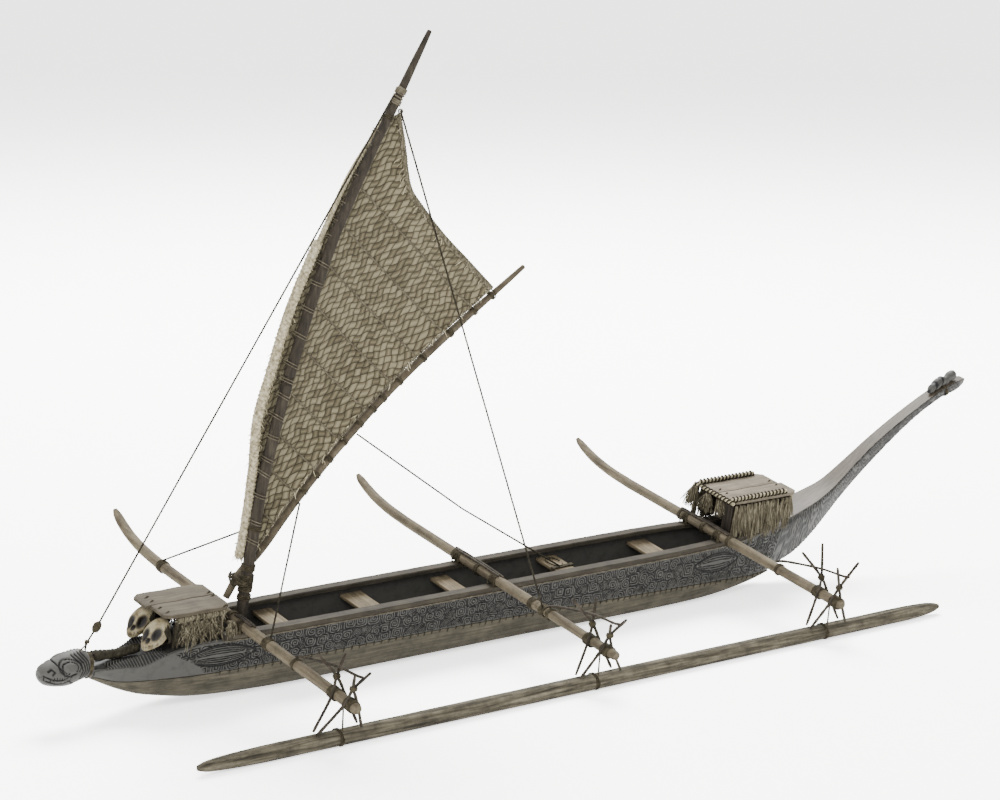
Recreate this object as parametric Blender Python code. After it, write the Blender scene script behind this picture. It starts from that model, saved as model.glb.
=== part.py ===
"""Display model of a carved Polynesian sailing outrigger canoe, about 0.89 m long.

Canoe frame, metres: X runs aft from boom 2, Y to starboard from the centre line, Z up from just below the keel.
The model stands heeled to port on its keel and its float, so everything hangs on one tilted empty.
"""
from math import atan2, cos, pi, radians, sin, tan

import bpy
import bmesh
from mathutils import Matrix, Vector

for old in list(bpy.data.objects):
    bpy.data.objects.remove(old, do_unlink=True)

GAP = 0.0003

# Stance: the heel angle, and the flat strip beside the keel that the hull stands on.
HEEL = radians(10.28)
KEEL_LOW = 0.0042
STRIP_IN = 0.003
STRIP_OUT = 0.012
STRIP_RISE = (STRIP_OUT - STRIP_IN) * tan(HEEL)
STRIP_MID_Y = -(STRIP_IN + STRIP_OUT) / 2
STRIP_MID_Z = KEEL_LOW + STRIP_RISE / 2
STANCE_Y = -(STRIP_MID_Y * cos(HEEL) - STRIP_MID_Z * sin(HEEL))
STANCE_Z = -(STRIP_MID_Y * sin(HEEL) + STRIP_MID_Z * cos(HEEL))

# Hull
WALL = 0.0032
FLOOR = 0.005
STRAKE_THICK = 0.0026
RAIL_WIDE = 0.008
RAIL_DEEP = 0.0037
HOLLOW_FROM = -0.262
HOLLOW_TO = 0.292
RAIL_FROM = -0.2420
RAIL_TO = 0.298
# Hull stations: x, keel height, seam height, half beam at the seam, sheer height, half beam at the sheer
STATIONS = (
    (-0.3380, 0.0340, 0.0372, 0.0060, 0.0420, 0.0076),
    (-0.3200, 0.0245, 0.0318, 0.0098, 0.0432, 0.0112),
    (-0.3020, 0.0172, 0.0306, 0.0134, 0.0432, 0.0146),
    (-0.2880, 0.0137, 0.0303, 0.0158, 0.0488, 0.0172),
    (-0.2620, 0.0087, 0.0301, 0.0195, 0.0548, 0.0212),
    (-0.2260, 0.0058, 0.0305, 0.0225, 0.0558, 0.0245),
    (-0.1700, KEEL_LOW, 0.0312, 0.0243, 0.0560, 0.0262),
    (-0.0600, KEEL_LOW, 0.0314, 0.0250, 0.0560, 0.0266),
    (0.0700, KEEL_LOW, 0.0290, 0.0250, 0.0560, 0.0266),
    (0.1700, KEEL_LOW, 0.0266, 0.0245, 0.0560, 0.0262),
    (0.2150, 0.0046, 0.0245, 0.0225, 0.0560, 0.0245),
    (0.2420, 0.0058, 0.0222, 0.0195, 0.0560, 0.0226),
    (0.2620, 0.0082, 0.0202, 0.0168, 0.0576, 0.0208),
    (0.2850, 0.0112, 0.0178, 0.0125, 0.0600, 0.0180),
    (0.3027, 0.0148, 0.0168, 0.0080, 0.0630, 0.0158),
)
# Hull section between the standing strip and the seam: share of the half beam, share of the depth
BILGE = ((0.79, 0.24), (0.935, 0.50), (0.985, 0.76))

# Thwarts: x of the forward edge, width
THWARTS = ((-0.1901, 0.0163), (-0.1114, 0.0189), (-0.0274, 0.0153), (0.0759, 0.0187), (0.1686, 0.0187))
THWART_TOP = 0.0515
THWART_THICK = 0.0030

# Booms and float
BOOM_X = (-0.2264, 0.0, 0.2297)
BOOM_R = 0.0040
BOOM_Z = 0.0560 + GAP + RAIL_DEEP + GAP + BOOM_R
BOOM_PORT = (-0.1668, -0.0770, -0.1652)
BOOM_TIP_LIFT = (1.30, 1.0, 1.0)
BOOM_TIP_OUT = (0.0015, 0.0040, 0.0070)
SPLICE_Y = -0.0770
OUTER_POLE_R = 0.0037
OUTER_POLE_END = -0.1695
# Upswept end of a boom: y, rise, half width, half thickness
BOOM_SWEEP = (
    (0.095, 0.0000, 0.0040, 0.0040),
    (0.118, 0.0012, 0.0041, 0.0038),
    (0.137, 0.0040, 0.0042, 0.0033),
    (0.150, 0.0078, 0.0041, 0.0027),
    (0.158, 0.0112, 0.0034, 0.0021),
    (0.1615, 0.0130, 0.0018, 0.0014),
)
FLOAT_R = 0.00605
FLOAT_SIDES = 12
FLOAT_Y = -0.1520
FLOAT_Z = (FLOAT_R * cos(pi / FLOAT_SIDES) - STANCE_Z - FLOAT_Y * sin(HEEL)) / cos(HEEL)
# Float sections: x, share of the radius
FLOAT_TAPER = (
    (-0.3422, 0.34), (-0.3350, 0.66), (-0.3150, 0.88), (-0.2850, 1.0),
    (0.3100, 1.0), (0.3380, 0.84), (0.3490, 0.58), (0.3540, 0.30),
)

# Sticks between float and boom
STICK_R = 0.0011
STICK_SIDES = 6
STICK_BASE_Z = FLOAT_Z + FLOAT_R + 0.0006
BESIDE = BOOM_R + STICK_R + 0.0007
# Crossed pairs: y on the float, then y and z of the crossing over the boom
CROSSINGS = {"inner": (-0.1490, -0.1385, 0.0772), "outer": (-0.1550, -0.1590, 0.0768)}
# Sticks: boom, pair, base dx, top dx, top y, top z
STICKS = (
    (0, "inner", -0.0225, 0.0100, -0.1325, 0.0895),
    (0, "inner", 0.0140, -0.0120, -0.1300, 0.0925),
    (0, "outer", 0.0135, -0.0040, -0.1640, 0.0890),
    (0, "outer", -0.0240, 0.0085, -0.1650, 0.0900),
    (1, "inner", -0.0185, 0.0085, -0.1290, 0.0920),
    (1, "inner", 0.0150, -0.0135, -0.1280, 0.0950),
    (1, "outer", 0.0190, -0.0060, -0.1650, 0.0890),
    (1, "outer", -0.0190, 0.0085, -0.1650, 0.0905),
    (2, "inner", -0.0185, 0.0085, -0.1255, 0.0990),
    (2, "inner", 0.0150, -0.0145, -0.1280, 0.0960),
    (2, "outer", 0.0170, -0.0130, -0.1660, 0.0980),
    (2, "outer", -0.0200, 0.0080, -0.1670, 0.1000),
)
ROD_R = 0.0011
# Brace rod from the boom through the forks of its sticks: y, z, then x from the boom's axis for each boom
ROD_LINE = (
    (-0.0885, 0.0698, (0.0, 0.0, 0.0)),
    (-0.1000, 0.0742, (0.0, 0.0, 0.0)),
    (-0.1385, 0.0848, (-0.0009, -0.0006, -0.0025)),
    (-0.1590, 0.0868, (0.0010, 0.0010, 0.0005)),
    (-0.1665, 0.0885, (0.0012, 0.0014, 0.0010)),
)

# Houses: roof underside, forward and aft end of the thatch, then each roof board's ends and half width
BOW_HOUSE = (0.0798, -0.2800, -0.2425, {"port": (-0.2925, -0.2385, 0.0215), "starboard": (-0.2965, -0.2385, 0.0207)})
STERN_HOUSE = (0.0896, 0.2420, 0.3020, {"port": (0.2380, 0.3090, 0.0220), "starboard": (0.2380, 0.3060, 0.0220)})
ROOF_THICK = 0.0026
THATCH_THICK = 0.0042
# Skulls: x, y, z of the centre; half length from jaw to crown, half width, half height across; pitch of the crown
SKULLS = (("skull_port", -0.2926, -0.0095, 0.0648), ("skull_starboard", -0.2935, 0.0095, 0.0668))
SKULL_HALF = (0.0138, 0.0075, 0.0088)
SKULL_PITCH = radians(50)

# Figurehead stations: x, centre height, half width, half height
FIGUREHEAD = (
    (-0.3384, 0.0430, 0.0072, 0.0078),
    (-0.3425, 0.0458, 0.0080, 0.0098),
    (-0.3480, 0.0468, 0.0104, 0.0112),
    (-0.3580, 0.0450, 0.0116, 0.0117),
    (-0.3680, 0.0437, 0.0106, 0.0094),
    (-0.3755, 0.0432, 0.0082, 0.0066),
    (-0.3790, 0.0430, 0.0044, 0.0032),
)
FIGUREHEAD_SIDES = 14
# Bow deck: share of its half width that lies level, and its rise over the sheer at each x
DECK_LEVEL = 0.45
DECK_RISE = ((-0.3380, 0.0015), (-0.3200, 0.0022), (-0.3020, 0.0030), (-0.2880, 0.0012), (-0.2820, 0.0), (-0.2620, 0.0))
DECK_RINGS = 38
# Ribbed ridges along both edges of the bow deck: x, then crest height to port and to starboard
RIDGE = (
    (-0.3290, 0.0445, 0.0455),
    (-0.3200, 0.0470, 0.0470),
    (-0.3120, 0.0485, 0.0488),
    (-0.3040, 0.0500, 0.0515),
    (-0.2985, 0.0521, 0.0543),
    (-0.2940, 0.0521, 0.0543),
)
RIDGE_SHARE = 0.72
RIDGE_RIBS = 10
RIDGE_NOTCH = 0.0007

# Sternpost sections: bottom x, bottom z, top x, top z, half width at the top, half width at the bottom
STERNPOST = (
    (0.3030, 0.0140, 0.3030, 0.0628, 0.0155, 0.0040),
    (0.3315, 0.0250, 0.3250, 0.0690, 0.0140, 0.0040),
    (0.3467, 0.0352, 0.3380, 0.0730, 0.0128, 0.0040),
    (0.3603, 0.0487, 0.3480, 0.0765, 0.0115, 0.0040),
    (0.3787, 0.0693, 0.3640, 0.0840, 0.0090, 0.0040),
    (0.3977, 0.0880, 0.3850, 0.0995, 0.0070, 0.0040),
    (0.4172, 0.1051, 0.4055, 0.1148, 0.0060, 0.0040),
    (0.4372, 0.1213, 0.4270, 0.1285, 0.0057, 0.0040),
    (0.4577, 0.1355, 0.4510, 0.1420, 0.0056, 0.0040),
    (0.4790, 0.1462, 0.4740, 0.1533, 0.0054, 0.0038),
    (0.4965, 0.1512, 0.4940, 0.1605, 0.0052, 0.0036),
    (0.5045, 0.1558, 0.5050, 0.1615, 0.0036, 0.0026),
)
# Small crouching figure on the tip: x, centre height, half width, half height
FIGURE = (
    (0.4655, 0.1522, 0.0030, 0.0022),
    (0.4715, 0.1566, 0.0042, 0.0038),
    (0.4785, 0.1605, 0.0044, 0.0046),
    (0.4840, 0.1610, 0.0032, 0.0034),
    (0.4880, 0.1642, 0.0040, 0.0038),
    (0.4930, 0.1650, 0.0042, 0.0041),
    (0.4968, 0.1647, 0.0024, 0.0023),
)

# Rig: its hinge runs from the mast's foot to the stays at the masthead.
MAST_FOOT = (-0.2160, 0.0, 0.0111)
# Mast: x, z, radius
MAST = (
    (-0.2160, 0.0111, 0.0044),
    (-0.2140, 0.0705, 0.0043),
    (-0.2112, 0.1215, 0.0043),
    (-0.2062, 0.1730, 0.0042),
    (-0.1920, 0.2529, 0.0041),
    (-0.1698, 0.3396, 0.0038),
    (-0.1433, 0.4069, 0.0034),
    (-0.1284, 0.4397, 0.0032),
    (-0.1170, 0.4655, 0.0027),
    (-0.1057, 0.4906, 0.0017),
)
SPRIT_Y = 0.0078
# Boom spar below the sail: x, z, radius
SPRIT = (
    (-0.2240, 0.0735, 0.0026),
    (-0.2150, 0.0900, 0.0030),
    (-0.1985, 0.1063, 0.0031),
    (-0.1710, 0.1427, 0.0032),
    (-0.1368, 0.1812, 0.0032),
    (-0.0930, 0.2232, 0.0031),
    (-0.0352, 0.2690, 0.0028),
    (-0.0090, 0.2880, 0.0023),
    (0.0130, 0.3042, 0.0017),
)
SAIL_Y = 0.0046
SAIL_THICK = 0.0014
SAIL_BELLY = 0.0070
# Forward edge of the sail, from tack to peak: x, z
LUFF = (
    (-0.2165, 0.1063), (-0.2138, 0.1305), (-0.2122, 0.1735), (-0.2125, 0.2115),
    (-0.2045, 0.2495), (-0.1950, 0.2895), (-0.1830, 0.3235), (-0.1698, 0.3565), (-0.1550, 0.3900), (-0.1300, 0.4285),
)
# After edge from tack along the foot to the clew, then up the leech to the peak: x, z
FOOT_AND_LEECH = (
    (-0.2050, 0.1090), (-0.1760, 0.1485), (-0.1420, 0.1870), (-0.0980, 0.2290), (-0.0560, 0.2625), (-0.0185, 0.2905),
    (-0.0460, 0.3165), (-0.0780, 0.3445), (-0.1030, 0.3715), (-0.1210, 0.4285),
)
SAIL_COLUMNS = 7

# Rigging: name, radius, points
LINES = (
    ("forestay", 0.0007, ((-0.3430, 0.0, 0.0568), (-0.3420, 0.0, 0.0622), (-0.3350, 0.0, 0.0730), (-0.1304, 0.0, 0.4452))),
    ("backstay", 0.0007, ((-0.1262, -0.0040, 0.4350), (-0.0030, -0.0842, 0.0681))),
    ("sheet_line", 0.0008, ((-0.1262, 0.0038, 0.1893), (-0.0200, 0.0036, 0.1150), (0.0820, 0.0, 0.0527))),
    ("tack_line", 0.0007, ((-0.1705, 0.0040, 0.1412), (-0.2255, -0.0555, 0.0695))),
    ("luff_line", 0.0007, ((-0.2134, 0.0071, 0.1255), (-0.2264, 0.0900, 0.0694))),
)


def material(name, colour, roughness=0.7):
    """A plain principled material for one kind of surface."""
    made = bpy.data.materials.get(name) or bpy.data.materials.new(name)
    made.use_nodes = True
    shader = made.node_tree.nodes["Principled BSDF"]
    shader.inputs["Base Color"].default_value = (*colour, 1.0)
    shader.inputs["Roughness"].default_value = roughness
    return made


DUGOUT = material("dugout_wood", (0.22, 0.19, 0.15))
CARVED = material("carved_dark_wood", (0.08, 0.08, 0.075), 0.6)
PLANK = material("plank_wood", (0.33, 0.25, 0.18))
POLE = material("pole_wood", (0.30, 0.24, 0.20))
DARK_POLE = material("dark_pole_wood", (0.12, 0.10, 0.085))
FLOAT_WOOD = material("float_wood", (0.19, 0.165, 0.14))
MAT = material("plaited_mat", (0.45, 0.40, 0.31), 0.85)
STRAW = material("straw", (0.42, 0.34, 0.22), 0.9)
BONE = material("bone", (0.62, 0.54, 0.38), 0.6)
CORD = material("cord", (0.16, 0.13, 0.10), 0.85)

stance = bpy.data.objects.new("stance", None)
bpy.context.collection.objects.link(stance)
stance.location = (0.0, STANCE_Y, STANCE_Z)
stance.rotation_euler = (HEEL, 0.0, 0.0)

rig = bpy.data.objects.new("rig_pivot", None)
bpy.context.collection.objects.link(rig)
rig.parent = stance
rig.location = MAST_FOOT


def add_object(name, data, finish, parent=stance):
    made = bpy.data.objects.new(name, data)
    bpy.context.collection.objects.link(made)
    made.parent = parent
    data.materials.append(finish)
    return made


def add_mesh(name, bm, finish, parent=stance, smooth_angle=35):
    """Close the piece's mesh, point its faces out and put it in the scene."""
    bmesh.ops.recalc_face_normals(bm, faces=bm.faces[:])
    mesh = bpy.data.meshes.new(name)
    bm.to_mesh(mesh)
    bm.free()
    mesh.shade_smooth()
    mesh.set_sharp_from_angle(angle=radians(smooth_angle))
    return add_object(name, mesh, finish, parent)


def bridge_rings(bm, rings):
    """Skin a row of closed rings and cap both ends."""
    loops = [[bm.verts.new(point) for point in ring] for ring in rings]
    for first, second in zip(loops, loops[1:]):
        for k in range(len(first)):
            after = (k + 1) % len(first)
            bm.faces.new((first[k], first[after], second[after], second[k]))
    bm.faces.new(loops[0])
    bm.faces.new(loops[-1])
    return bm


def loft(name, rings, finish, parent=stance, smooth_angle=35):
    return add_mesh(name, bridge_rings(bmesh.new(), rings), finish, parent, smooth_angle)


def pole_rings(centres, halves, sides, phase=0.0):
    """Elliptic rings square to a line of centres; each half is (sideways, upward)."""
    points = [Vector(centre) for centre in centres]
    rings = []
    for k, point in enumerate(points):
        ahead = points[min(k + 1, len(points) - 1)] - points[max(k - 1, 0)]
        ahead.normalize()
        across = ahead.cross(Vector((0, 0, 1)))
        if across.length < 0.2:
            across = ahead.cross(Vector((0, 1, 0)))
        across.normalize()
        up = across.cross(ahead)
        wide, high = halves[k]
        turns = [phase + 2 * pi * n / sides for n in range(sides)]
        rings.append([point + across * (wide * cos(t)) + up * (high * sin(t)) for t in turns])
    return rings


def pole(name, centres, halves, sides, finish, parent=stance, phase=0.0):
    return loft(name, pole_rings(centres, halves, sides, phase), finish, parent)


def block(name, low, high, finish, parent=stance):
    """A plain board with its edges slightly eased."""
    bm = bmesh.new()
    bmesh.ops.create_cube(bm, size=1.0)
    for vert in bm.verts:
        for axis in range(3):
            vert.co[axis] = low[axis] if vert.co[axis] < 0 else high[axis]
    return add_mesh(name, bm, finish, parent)


def table_value(table, x, column):
    """A tabled measure at any x, between the two rows beside it."""
    for before, after in zip(table, table[1:]):
        if x <= after[0]:
            break
    share = min(max((x - before[0]) / (after[0] - before[0]), 0.0), 1.0)
    return before[column] + (after[column] - before[column]) * share


def keel(x):
    return table_value(STATIONS, x, 1)


def seam(x):
    return table_value(STATIONS, x, 2)


def seam_beam(x):
    return table_value(STATIONS, x, 3)


def sheer(x):
    return table_value(STATIONS, x, 4)


def sheer_beam(x):
    return table_value(STATIONS, x, 5)


def dugout_side(x):
    """Half of the outer section, from the keel up to the seam."""
    beam = seam_beam(x)
    depth = seam(x) - keel(x)
    narrow = min(1.0, beam / 0.024)
    side = [(STRIP_IN * narrow, 0.0), (STRIP_OUT * narrow, STRIP_RISE * narrow)]
    side += [(beam * out, depth * up) for out, up in BILGE]
    side.append((beam, depth))
    return [(y, min(z, depth) + keel(x)) for y, z in side]


def dugout_hull():
    """The log hull: an outer skin closed at both ends, with a trough let into its top."""
    bm = bmesh.new()
    xs = [station[0] for station in STATIONS]
    skin = []
    for x in xs:
        side = dugout_side(x)
        ring = [(x, -y, z) for y, z in reversed(side)] + [(x, y, z) for y, z in side]
        skin.append([bm.verts.new(point) for point in ring])
    for first, second in zip(skin, skin[1:]):
        for k in range(len(first) - 1):
            bm.faces.new((first[k], first[k + 1], second[k + 1], second[k]))
    bm.faces.new(skin[0])
    bm.faces.new(skin[-1])

    inner_xs = [x for x in xs if HOLLOW_FROM - 0.001 < x < HOLLOW_TO]
    inner_xs[0] = HOLLOW_FROM
    inner = []
    for x in inner_xs:
        beam = seam_beam(x) - WALL
        low = keel(x) + FLOOR
        deep = seam(x) - low
        side = [(beam * 0.45, low), (beam * 0.86, low + deep * 0.3), (beam, seam(x))]
        ring = [(x, -y, z) for y, z in reversed(side)] + [(x, y, z) for y, z in side]
        inner.append([bm.verts.new(point) for point in ring])
    for first, second in zip(inner, inner[1:]):
        for k in range(len(first) - 1):
            bm.faces.new((first[k], first[k + 1], second[k + 1], second[k]))
    bm.faces.new(inner[0])
    bm.faces.new(inner[-1])

    start = next(k for k, x in enumerate(xs) if abs(x - HOLLOW_FROM) < 0.001)
    stop = start + len(inner) - 1
    for first, second in zip(skin[:start], skin[1:start + 1]):
        bm.faces.new((first[0], second[0], second[-1], first[-1]))
    for first, second in zip(skin[stop:], skin[stop + 1:]):
        bm.faces.new((first[0], second[0], second[-1], first[-1]))
    bm.faces.new((skin[start][0], skin[start][-1], inner[0][-1], inner[0][0]))
    bm.faces.new((skin[stop][0], skin[stop][-1], inner[-1][-1], inner[-1][0]))
    for k in range(len(inner) - 1):
        near, after = skin[start + k], skin[start + k + 1]
        for edge in (0, -1):
            bm.faces.new((near[edge], after[edge], inner[k + 1][edge], inner[k][edge]))
    return add_mesh("dugout_hull", bm, DUGOUT)


def strake(name, hand):
    """A carved plank standing on the seam along one side."""
    rings = []
    for station in STATIONS:
        x = station[0]
        low, high = seam(x) + GAP, sheer(x)
        foot, top = seam_beam(x), sheer_beam(x)
        section = ((foot, low), (top, high), (top - STRAKE_THICK, high), (foot - STRAKE_THICK, low))
        rings.append([(x, hand * y, z) for y, z in section])
    return loft(name, rings, CARVED)


def rail(name, hand):
    """The light cap rail along the top of a strake."""
    xs = [RAIL_FROM] + [station[0] for station in STATIONS if RAIL_FROM < station[0] < RAIL_TO] + [RAIL_TO]
    rings = []
    for x in xs:
        low = sheer(x) + GAP
        out = sheer_beam(x) + 0.0004
        section = ((out, low), (out, low + RAIL_DEEP), (out - RAIL_WIDE, low + RAIL_DEEP), (out - RAIL_WIDE, low))
        rings.append([(x, hand * y, z) for y, z in section])
    return loft(name, rings, PLANK)


def deck_rise(x):
    return table_value(DECK_RISE, x, 1)


def deck_half(x):
    return sheer_beam(x) - STRAKE_THICK - 3 * GAP


def bow_deck():
    """The solid deck piece between the strakes at the bow, a little crowned."""
    rings = []
    first, last = DECK_RISE[0][0], DECK_RISE[-1][0]
    for k in range(DECK_RINGS + 1):
        x = first + (last - first) * k / DECK_RINGS
        foot = seam_beam(x) - STRAKE_THICK - 3 * GAP
        top = deck_half(x)
        low, high = seam(x) + GAP, sheer(x)
        level = top * DECK_LEVEL
        half = ((foot, low), (top, high), (level, high + deck_rise(x)))
        rings.append([(x, y, z) for y, z in half] + [(x, -y, z) for y, z in reversed(half)])
    return loft("bow_deck", rings, CARVED)


def figurehead():
    """The carved head and neck at the bow."""
    turns = [2 * pi * n / FIGUREHEAD_SIDES for n in range(FIGUREHEAD_SIDES)]
    rings = [[(x, wide * cos(t), z + high * sin(t)) for t in turns] for x, z, wide, high in FIGUREHEAD]
    return loft("figurehead", rings, CARVED)


def ridge(name, hand, column):
    """A ribbed ridge from the top of a strake over the edge of the bow deck."""
    first, last = RIDGE[0][0], RIDGE[-1][0]
    steps = 2 * RIDGE_RIBS
    rings = []
    for k in range(steps + 1):
        x = first + (last - first) * k / steps
        low = sheer(x) + GAP
        top = table_value(RIDGE, x, column) - (RIDGE_NOTCH if k % 2 else 0.0)
        level = deck_half(x) * DECK_LEVEL
        inner = low + deck_rise(x)
        section = ((sheer_beam(x), low), (sheer_beam(x) - 0.0004, low + 0.0006), (sheer_beam(x) * RIDGE_SHARE, top),
                   (level, inner + 0.0006), (level, inner), (deck_half(x), low))
        rings.append([(x, hand * y, z) for y, z in section])
    return loft(name, rings, CARVED)


def thwart(number, x, width):
    """A plank seat between the strakes, just below the rails."""
    middle = x + width / 2
    share = (THWART_TOP - seam(middle)) / (sheer(middle) - seam(middle))
    reach = seam_beam(middle) + (sheer_beam(middle) - seam_beam(middle)) * share - STRAKE_THICK - 0.0009
    low = (x, -reach, THWART_TOP - THWART_THICK)
    high = (x + width, reach, THWART_TOP)
    return block("thwart_%d" % number, low, high, PLANK)


def boom(number, x, port_end, lift, out):
    """A cross pole over both rails, its starboard end flattened and swept up."""
    line = [(port_end, 0.0, BOOM_R * 0.82, BOOM_R * 0.82), (port_end + 0.003, 0.0, BOOM_R, BOOM_R)]
    start, end = BOOM_SWEEP[0][0], BOOM_SWEEP[-1][0]
    for y, rise, wide, high in BOOM_SWEEP:
        line.append((y + out * (y - start) / (end - start), rise * lift, wide, high))
    centres = [(x, y, BOOM_Z + rise) for y, rise, wide, high in line]
    halves = [(wide, high) for y, rise, wide, high in line]
    return pole("boom_%d" % number, centres, halves, 10, POLE)


def outer_pole():
    """The thinner pole that carries boom 2 on from its splice."""
    ends = (OUTER_POLE_END, OUTER_POLE_END + 0.003, SPLICE_Y - GAP)
    centres = [(BOOM_X[1], y, BOOM_Z + BOOM_R - OUTER_POLE_R) for y in ends]
    halves = [(OUTER_POLE_R * share, OUTER_POLE_R * share) for share in (0.82, 1.0, 1.0)]
    return pole("boom_2_outer", centres, halves, 10, POLE)


def float_log():
    centres = [(x, FLOAT_Y, FLOAT_Z) for x, share in FLOAT_TAPER]
    halves = [(FLOAT_R * share, FLOAT_R * share) for x, share in FLOAT_TAPER]
    return pole("float", centres, halves, FLOAT_SIDES, FLOAT_WOOD, phase=HEEL + pi / FLOAT_SIDES)


def stick_pair(number, pair):
    """Two bent sticks that stand on the float, pass each side of a boom and cross over it."""
    base_y, cross_y, cross_z = CROSSINGS[pair]
    boom_x = BOOM_X[number]
    sticks = []
    for _, _, base_dx, top_dx, top_y, top_z in [s for s in STICKS if s[0] == number and s[1] == pair]:
        side = BESIDE if base_dx > 0 else -BESIDE
        share = (BOOM_Z - STICK_BASE_Z) / (cross_z - STICK_BASE_Z)
        beside_y = base_y + (cross_y - base_y) * share
        centres = (
            (boom_x + base_dx, base_y, STICK_BASE_Z),
            (boom_x + side, beside_y, BOOM_Z),
            (boom_x, cross_y, cross_z),
            (boom_x + top_dx, top_y, top_z),
        )
        bm = bridge_rings(bmesh.new(), pole_rings(centres, [(STICK_R, STICK_R)] * 4, STICK_SIDES))
        sticks.append(bm)
    pieces = []
    for k, bm in enumerate(sticks):
        name = "sticks_%d_%s" % (number + 1, pair)
        pieces.append(add_mesh(name if k == 0 else name + "_partner", bm, DARK_POLE))
    first, second = pieces
    second.hide_render = True
    second.display_type = "WIRE"
    join = first.modifiers.new("lashed", "BOOLEAN")
    join.operation = "UNION"
    join.object = second
    return first


def brace_rod(number):
    centres = [(BOOM_X[number] + aside[number], y, z) for y, z, aside in ROD_LINE]
    return pole("brace_rod_%d" % (number + 1), centres, [(ROD_R, ROD_R)] * len(centres), STICK_SIDES, DARK_POLE)


def house(name, size, floor_gap):
    """Two roof planks on a thatch wall each side."""
    under, thatch_fore, thatch_aft, boards = size
    for side, hand in (("port", -1), ("starboard", 1)):
        fore, aft, half = boards[side]
        inner, outer = sorted((hand * GAP, hand * half))
        block("%s_roof_%s" % (name, side), (fore, inner, under), (aft, outer, under + ROOF_THICK), PLANK)
        rings = []
        for x in (thatch_fore, (thatch_fore + thatch_aft) / 2, thatch_aft):
            low = floor_gap(x) + GAP
            out = min(half - 0.001, sheer_beam(x) - 0.0005)
            section = ((out, low), (half - 0.0008, under - GAP), (half - 0.0008 - THATCH_THICK, under - GAP),
                       (out - THATCH_THICK, low))
            rings.append([(x, hand * y, z) for y, z in section])
        loft("%s_thatch_%s" % (name, side), rings, STRAW)


def skull(name, x, y, z):
    """An egg-shaped skull, jaw down and forward."""
    bm = bmesh.new()
    bmesh.ops.create_uvsphere(bm, u_segments=12, v_segments=8, radius=1.0)
    bmesh.ops.scale(bm, verts=bm.verts[:], vec=SKULL_HALF)
    bmesh.ops.rotate(bm, verts=bm.verts[:], matrix=Matrix.Rotation(-SKULL_PITCH, 3, "Y"))
    bmesh.ops.translate(bm, verts=bm.verts[:], vec=(x, y, z))
    return add_mesh(name, bm, BONE)


def sternpost():
    """The tall stern piece: broad at the hull, sweeping up to a blunt tip."""
    rings = []
    for low_x, low_z, top_x, top_z, top_half, low_half in STERNPOST:
        low, top = Vector((low_x, 0, low_z)), Vector((top_x, 0, top_z))
        ring = []
        for share, half in ((0.0, low_half * 0.6), (0.10, low_half), (0.55, (low_half + 2 * top_half) / 3),
                            (0.88, top_half), (1.0, top_half * 0.94)):
            ring.append(low.lerp(top, share) + Vector((0, half, 0)))
        ring += [point * Vector((1, -1, 1)) for point in reversed([Vector(p) for p in ring])]
        rings.append(ring)
    return loft("sternpost", rings, CARVED)


def stern_figure():
    centres = [(x, 0.0, z) for x, z, wide, high in FIGURE]
    halves = [(wide, high) for x, z, wide, high in FIGURE]
    return pole("stern_figure", centres, halves, 10, CARVED)


def from_foot(x, y, z):
    return Vector((x, y, z)) - Vector(MAST_FOOT)


def mast():
    centres = [from_foot(x, 0.0, z) for x, z, radius in MAST]
    return pole("mast", centres, [(r, r) for x, z, r in MAST], 10, DARK_POLE, rig)


def sprit():
    centres = [from_foot(x, SPRIT_Y, z) for x, z, radius in SPRIT]
    return pole("boom_spar", centres, [(r, r) for x, z, r in SPRIT], 8, POLE, rig)


def sail():
    """The plaited mat: rows from the forward edge to the foot and leech, bellied to starboard."""
    bm = bmesh.new()
    faces = []
    for hand in (0, 1):
        sheet = []
        for row, (fore, aft) in enumerate(zip(LUFF, FOOT_AND_LEECH)):
            line = []
            for k in range(SAIL_COLUMNS + 1):
                share = k / SAIL_COLUMNS
                x = fore[0] + (aft[0] - fore[0]) * share
                z = fore[1] + (aft[1] - fore[1]) * share
                height = row / (len(LUFF) - 1)
                belly = SAIL_BELLY * sin(pi * share) * sin(pi * height)
                line.append(bm.verts.new(from_foot(x, SAIL_Y + belly + hand * SAIL_THICK, z)))
            sheet.append(line)
        faces.append(sheet)
    near, far = faces
    rows, columns = len(near), SAIL_COLUMNS + 1
    for sheet in faces:
        for r in range(rows - 1):
            for c in range(columns - 1):
                bm.faces.new((sheet[r][c], sheet[r][c + 1], sheet[r + 1][c + 1], sheet[r + 1][c]))
    rim = [(0, c) for c in range(columns)] + [(r, columns - 1) for r in range(1, rows)]
    rim += [(rows - 1, c) for c in range(columns - 2, -1, -1)] + [(r, 0) for r in range(rows - 2, 0, -1)]
    for (r, c), (s, d) in zip(rim, rim[1:] + rim[:1]):
        bm.faces.new((near[r][c], near[s][d], far[s][d], far[r][c]))
    return add_mesh("sail", bm, MAT, rig)


def line(name, radius, points):
    """A taut cord as a bevelled curve with closed ends."""
    curve = bpy.data.curves.new(name, "CURVE")
    curve.dimensions = "3D"
    curve.bevel_depth = radius
    curve.bevel_resolution = 2
    curve.use_fill_caps = True
    spline = curve.splines.new("POLY")
    spline.points.add(len(points) - 1)
    for point, place in zip(spline.points, points):
        point.co = (*place, 1.0)
    return add_object(name, curve, CORD)


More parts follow.
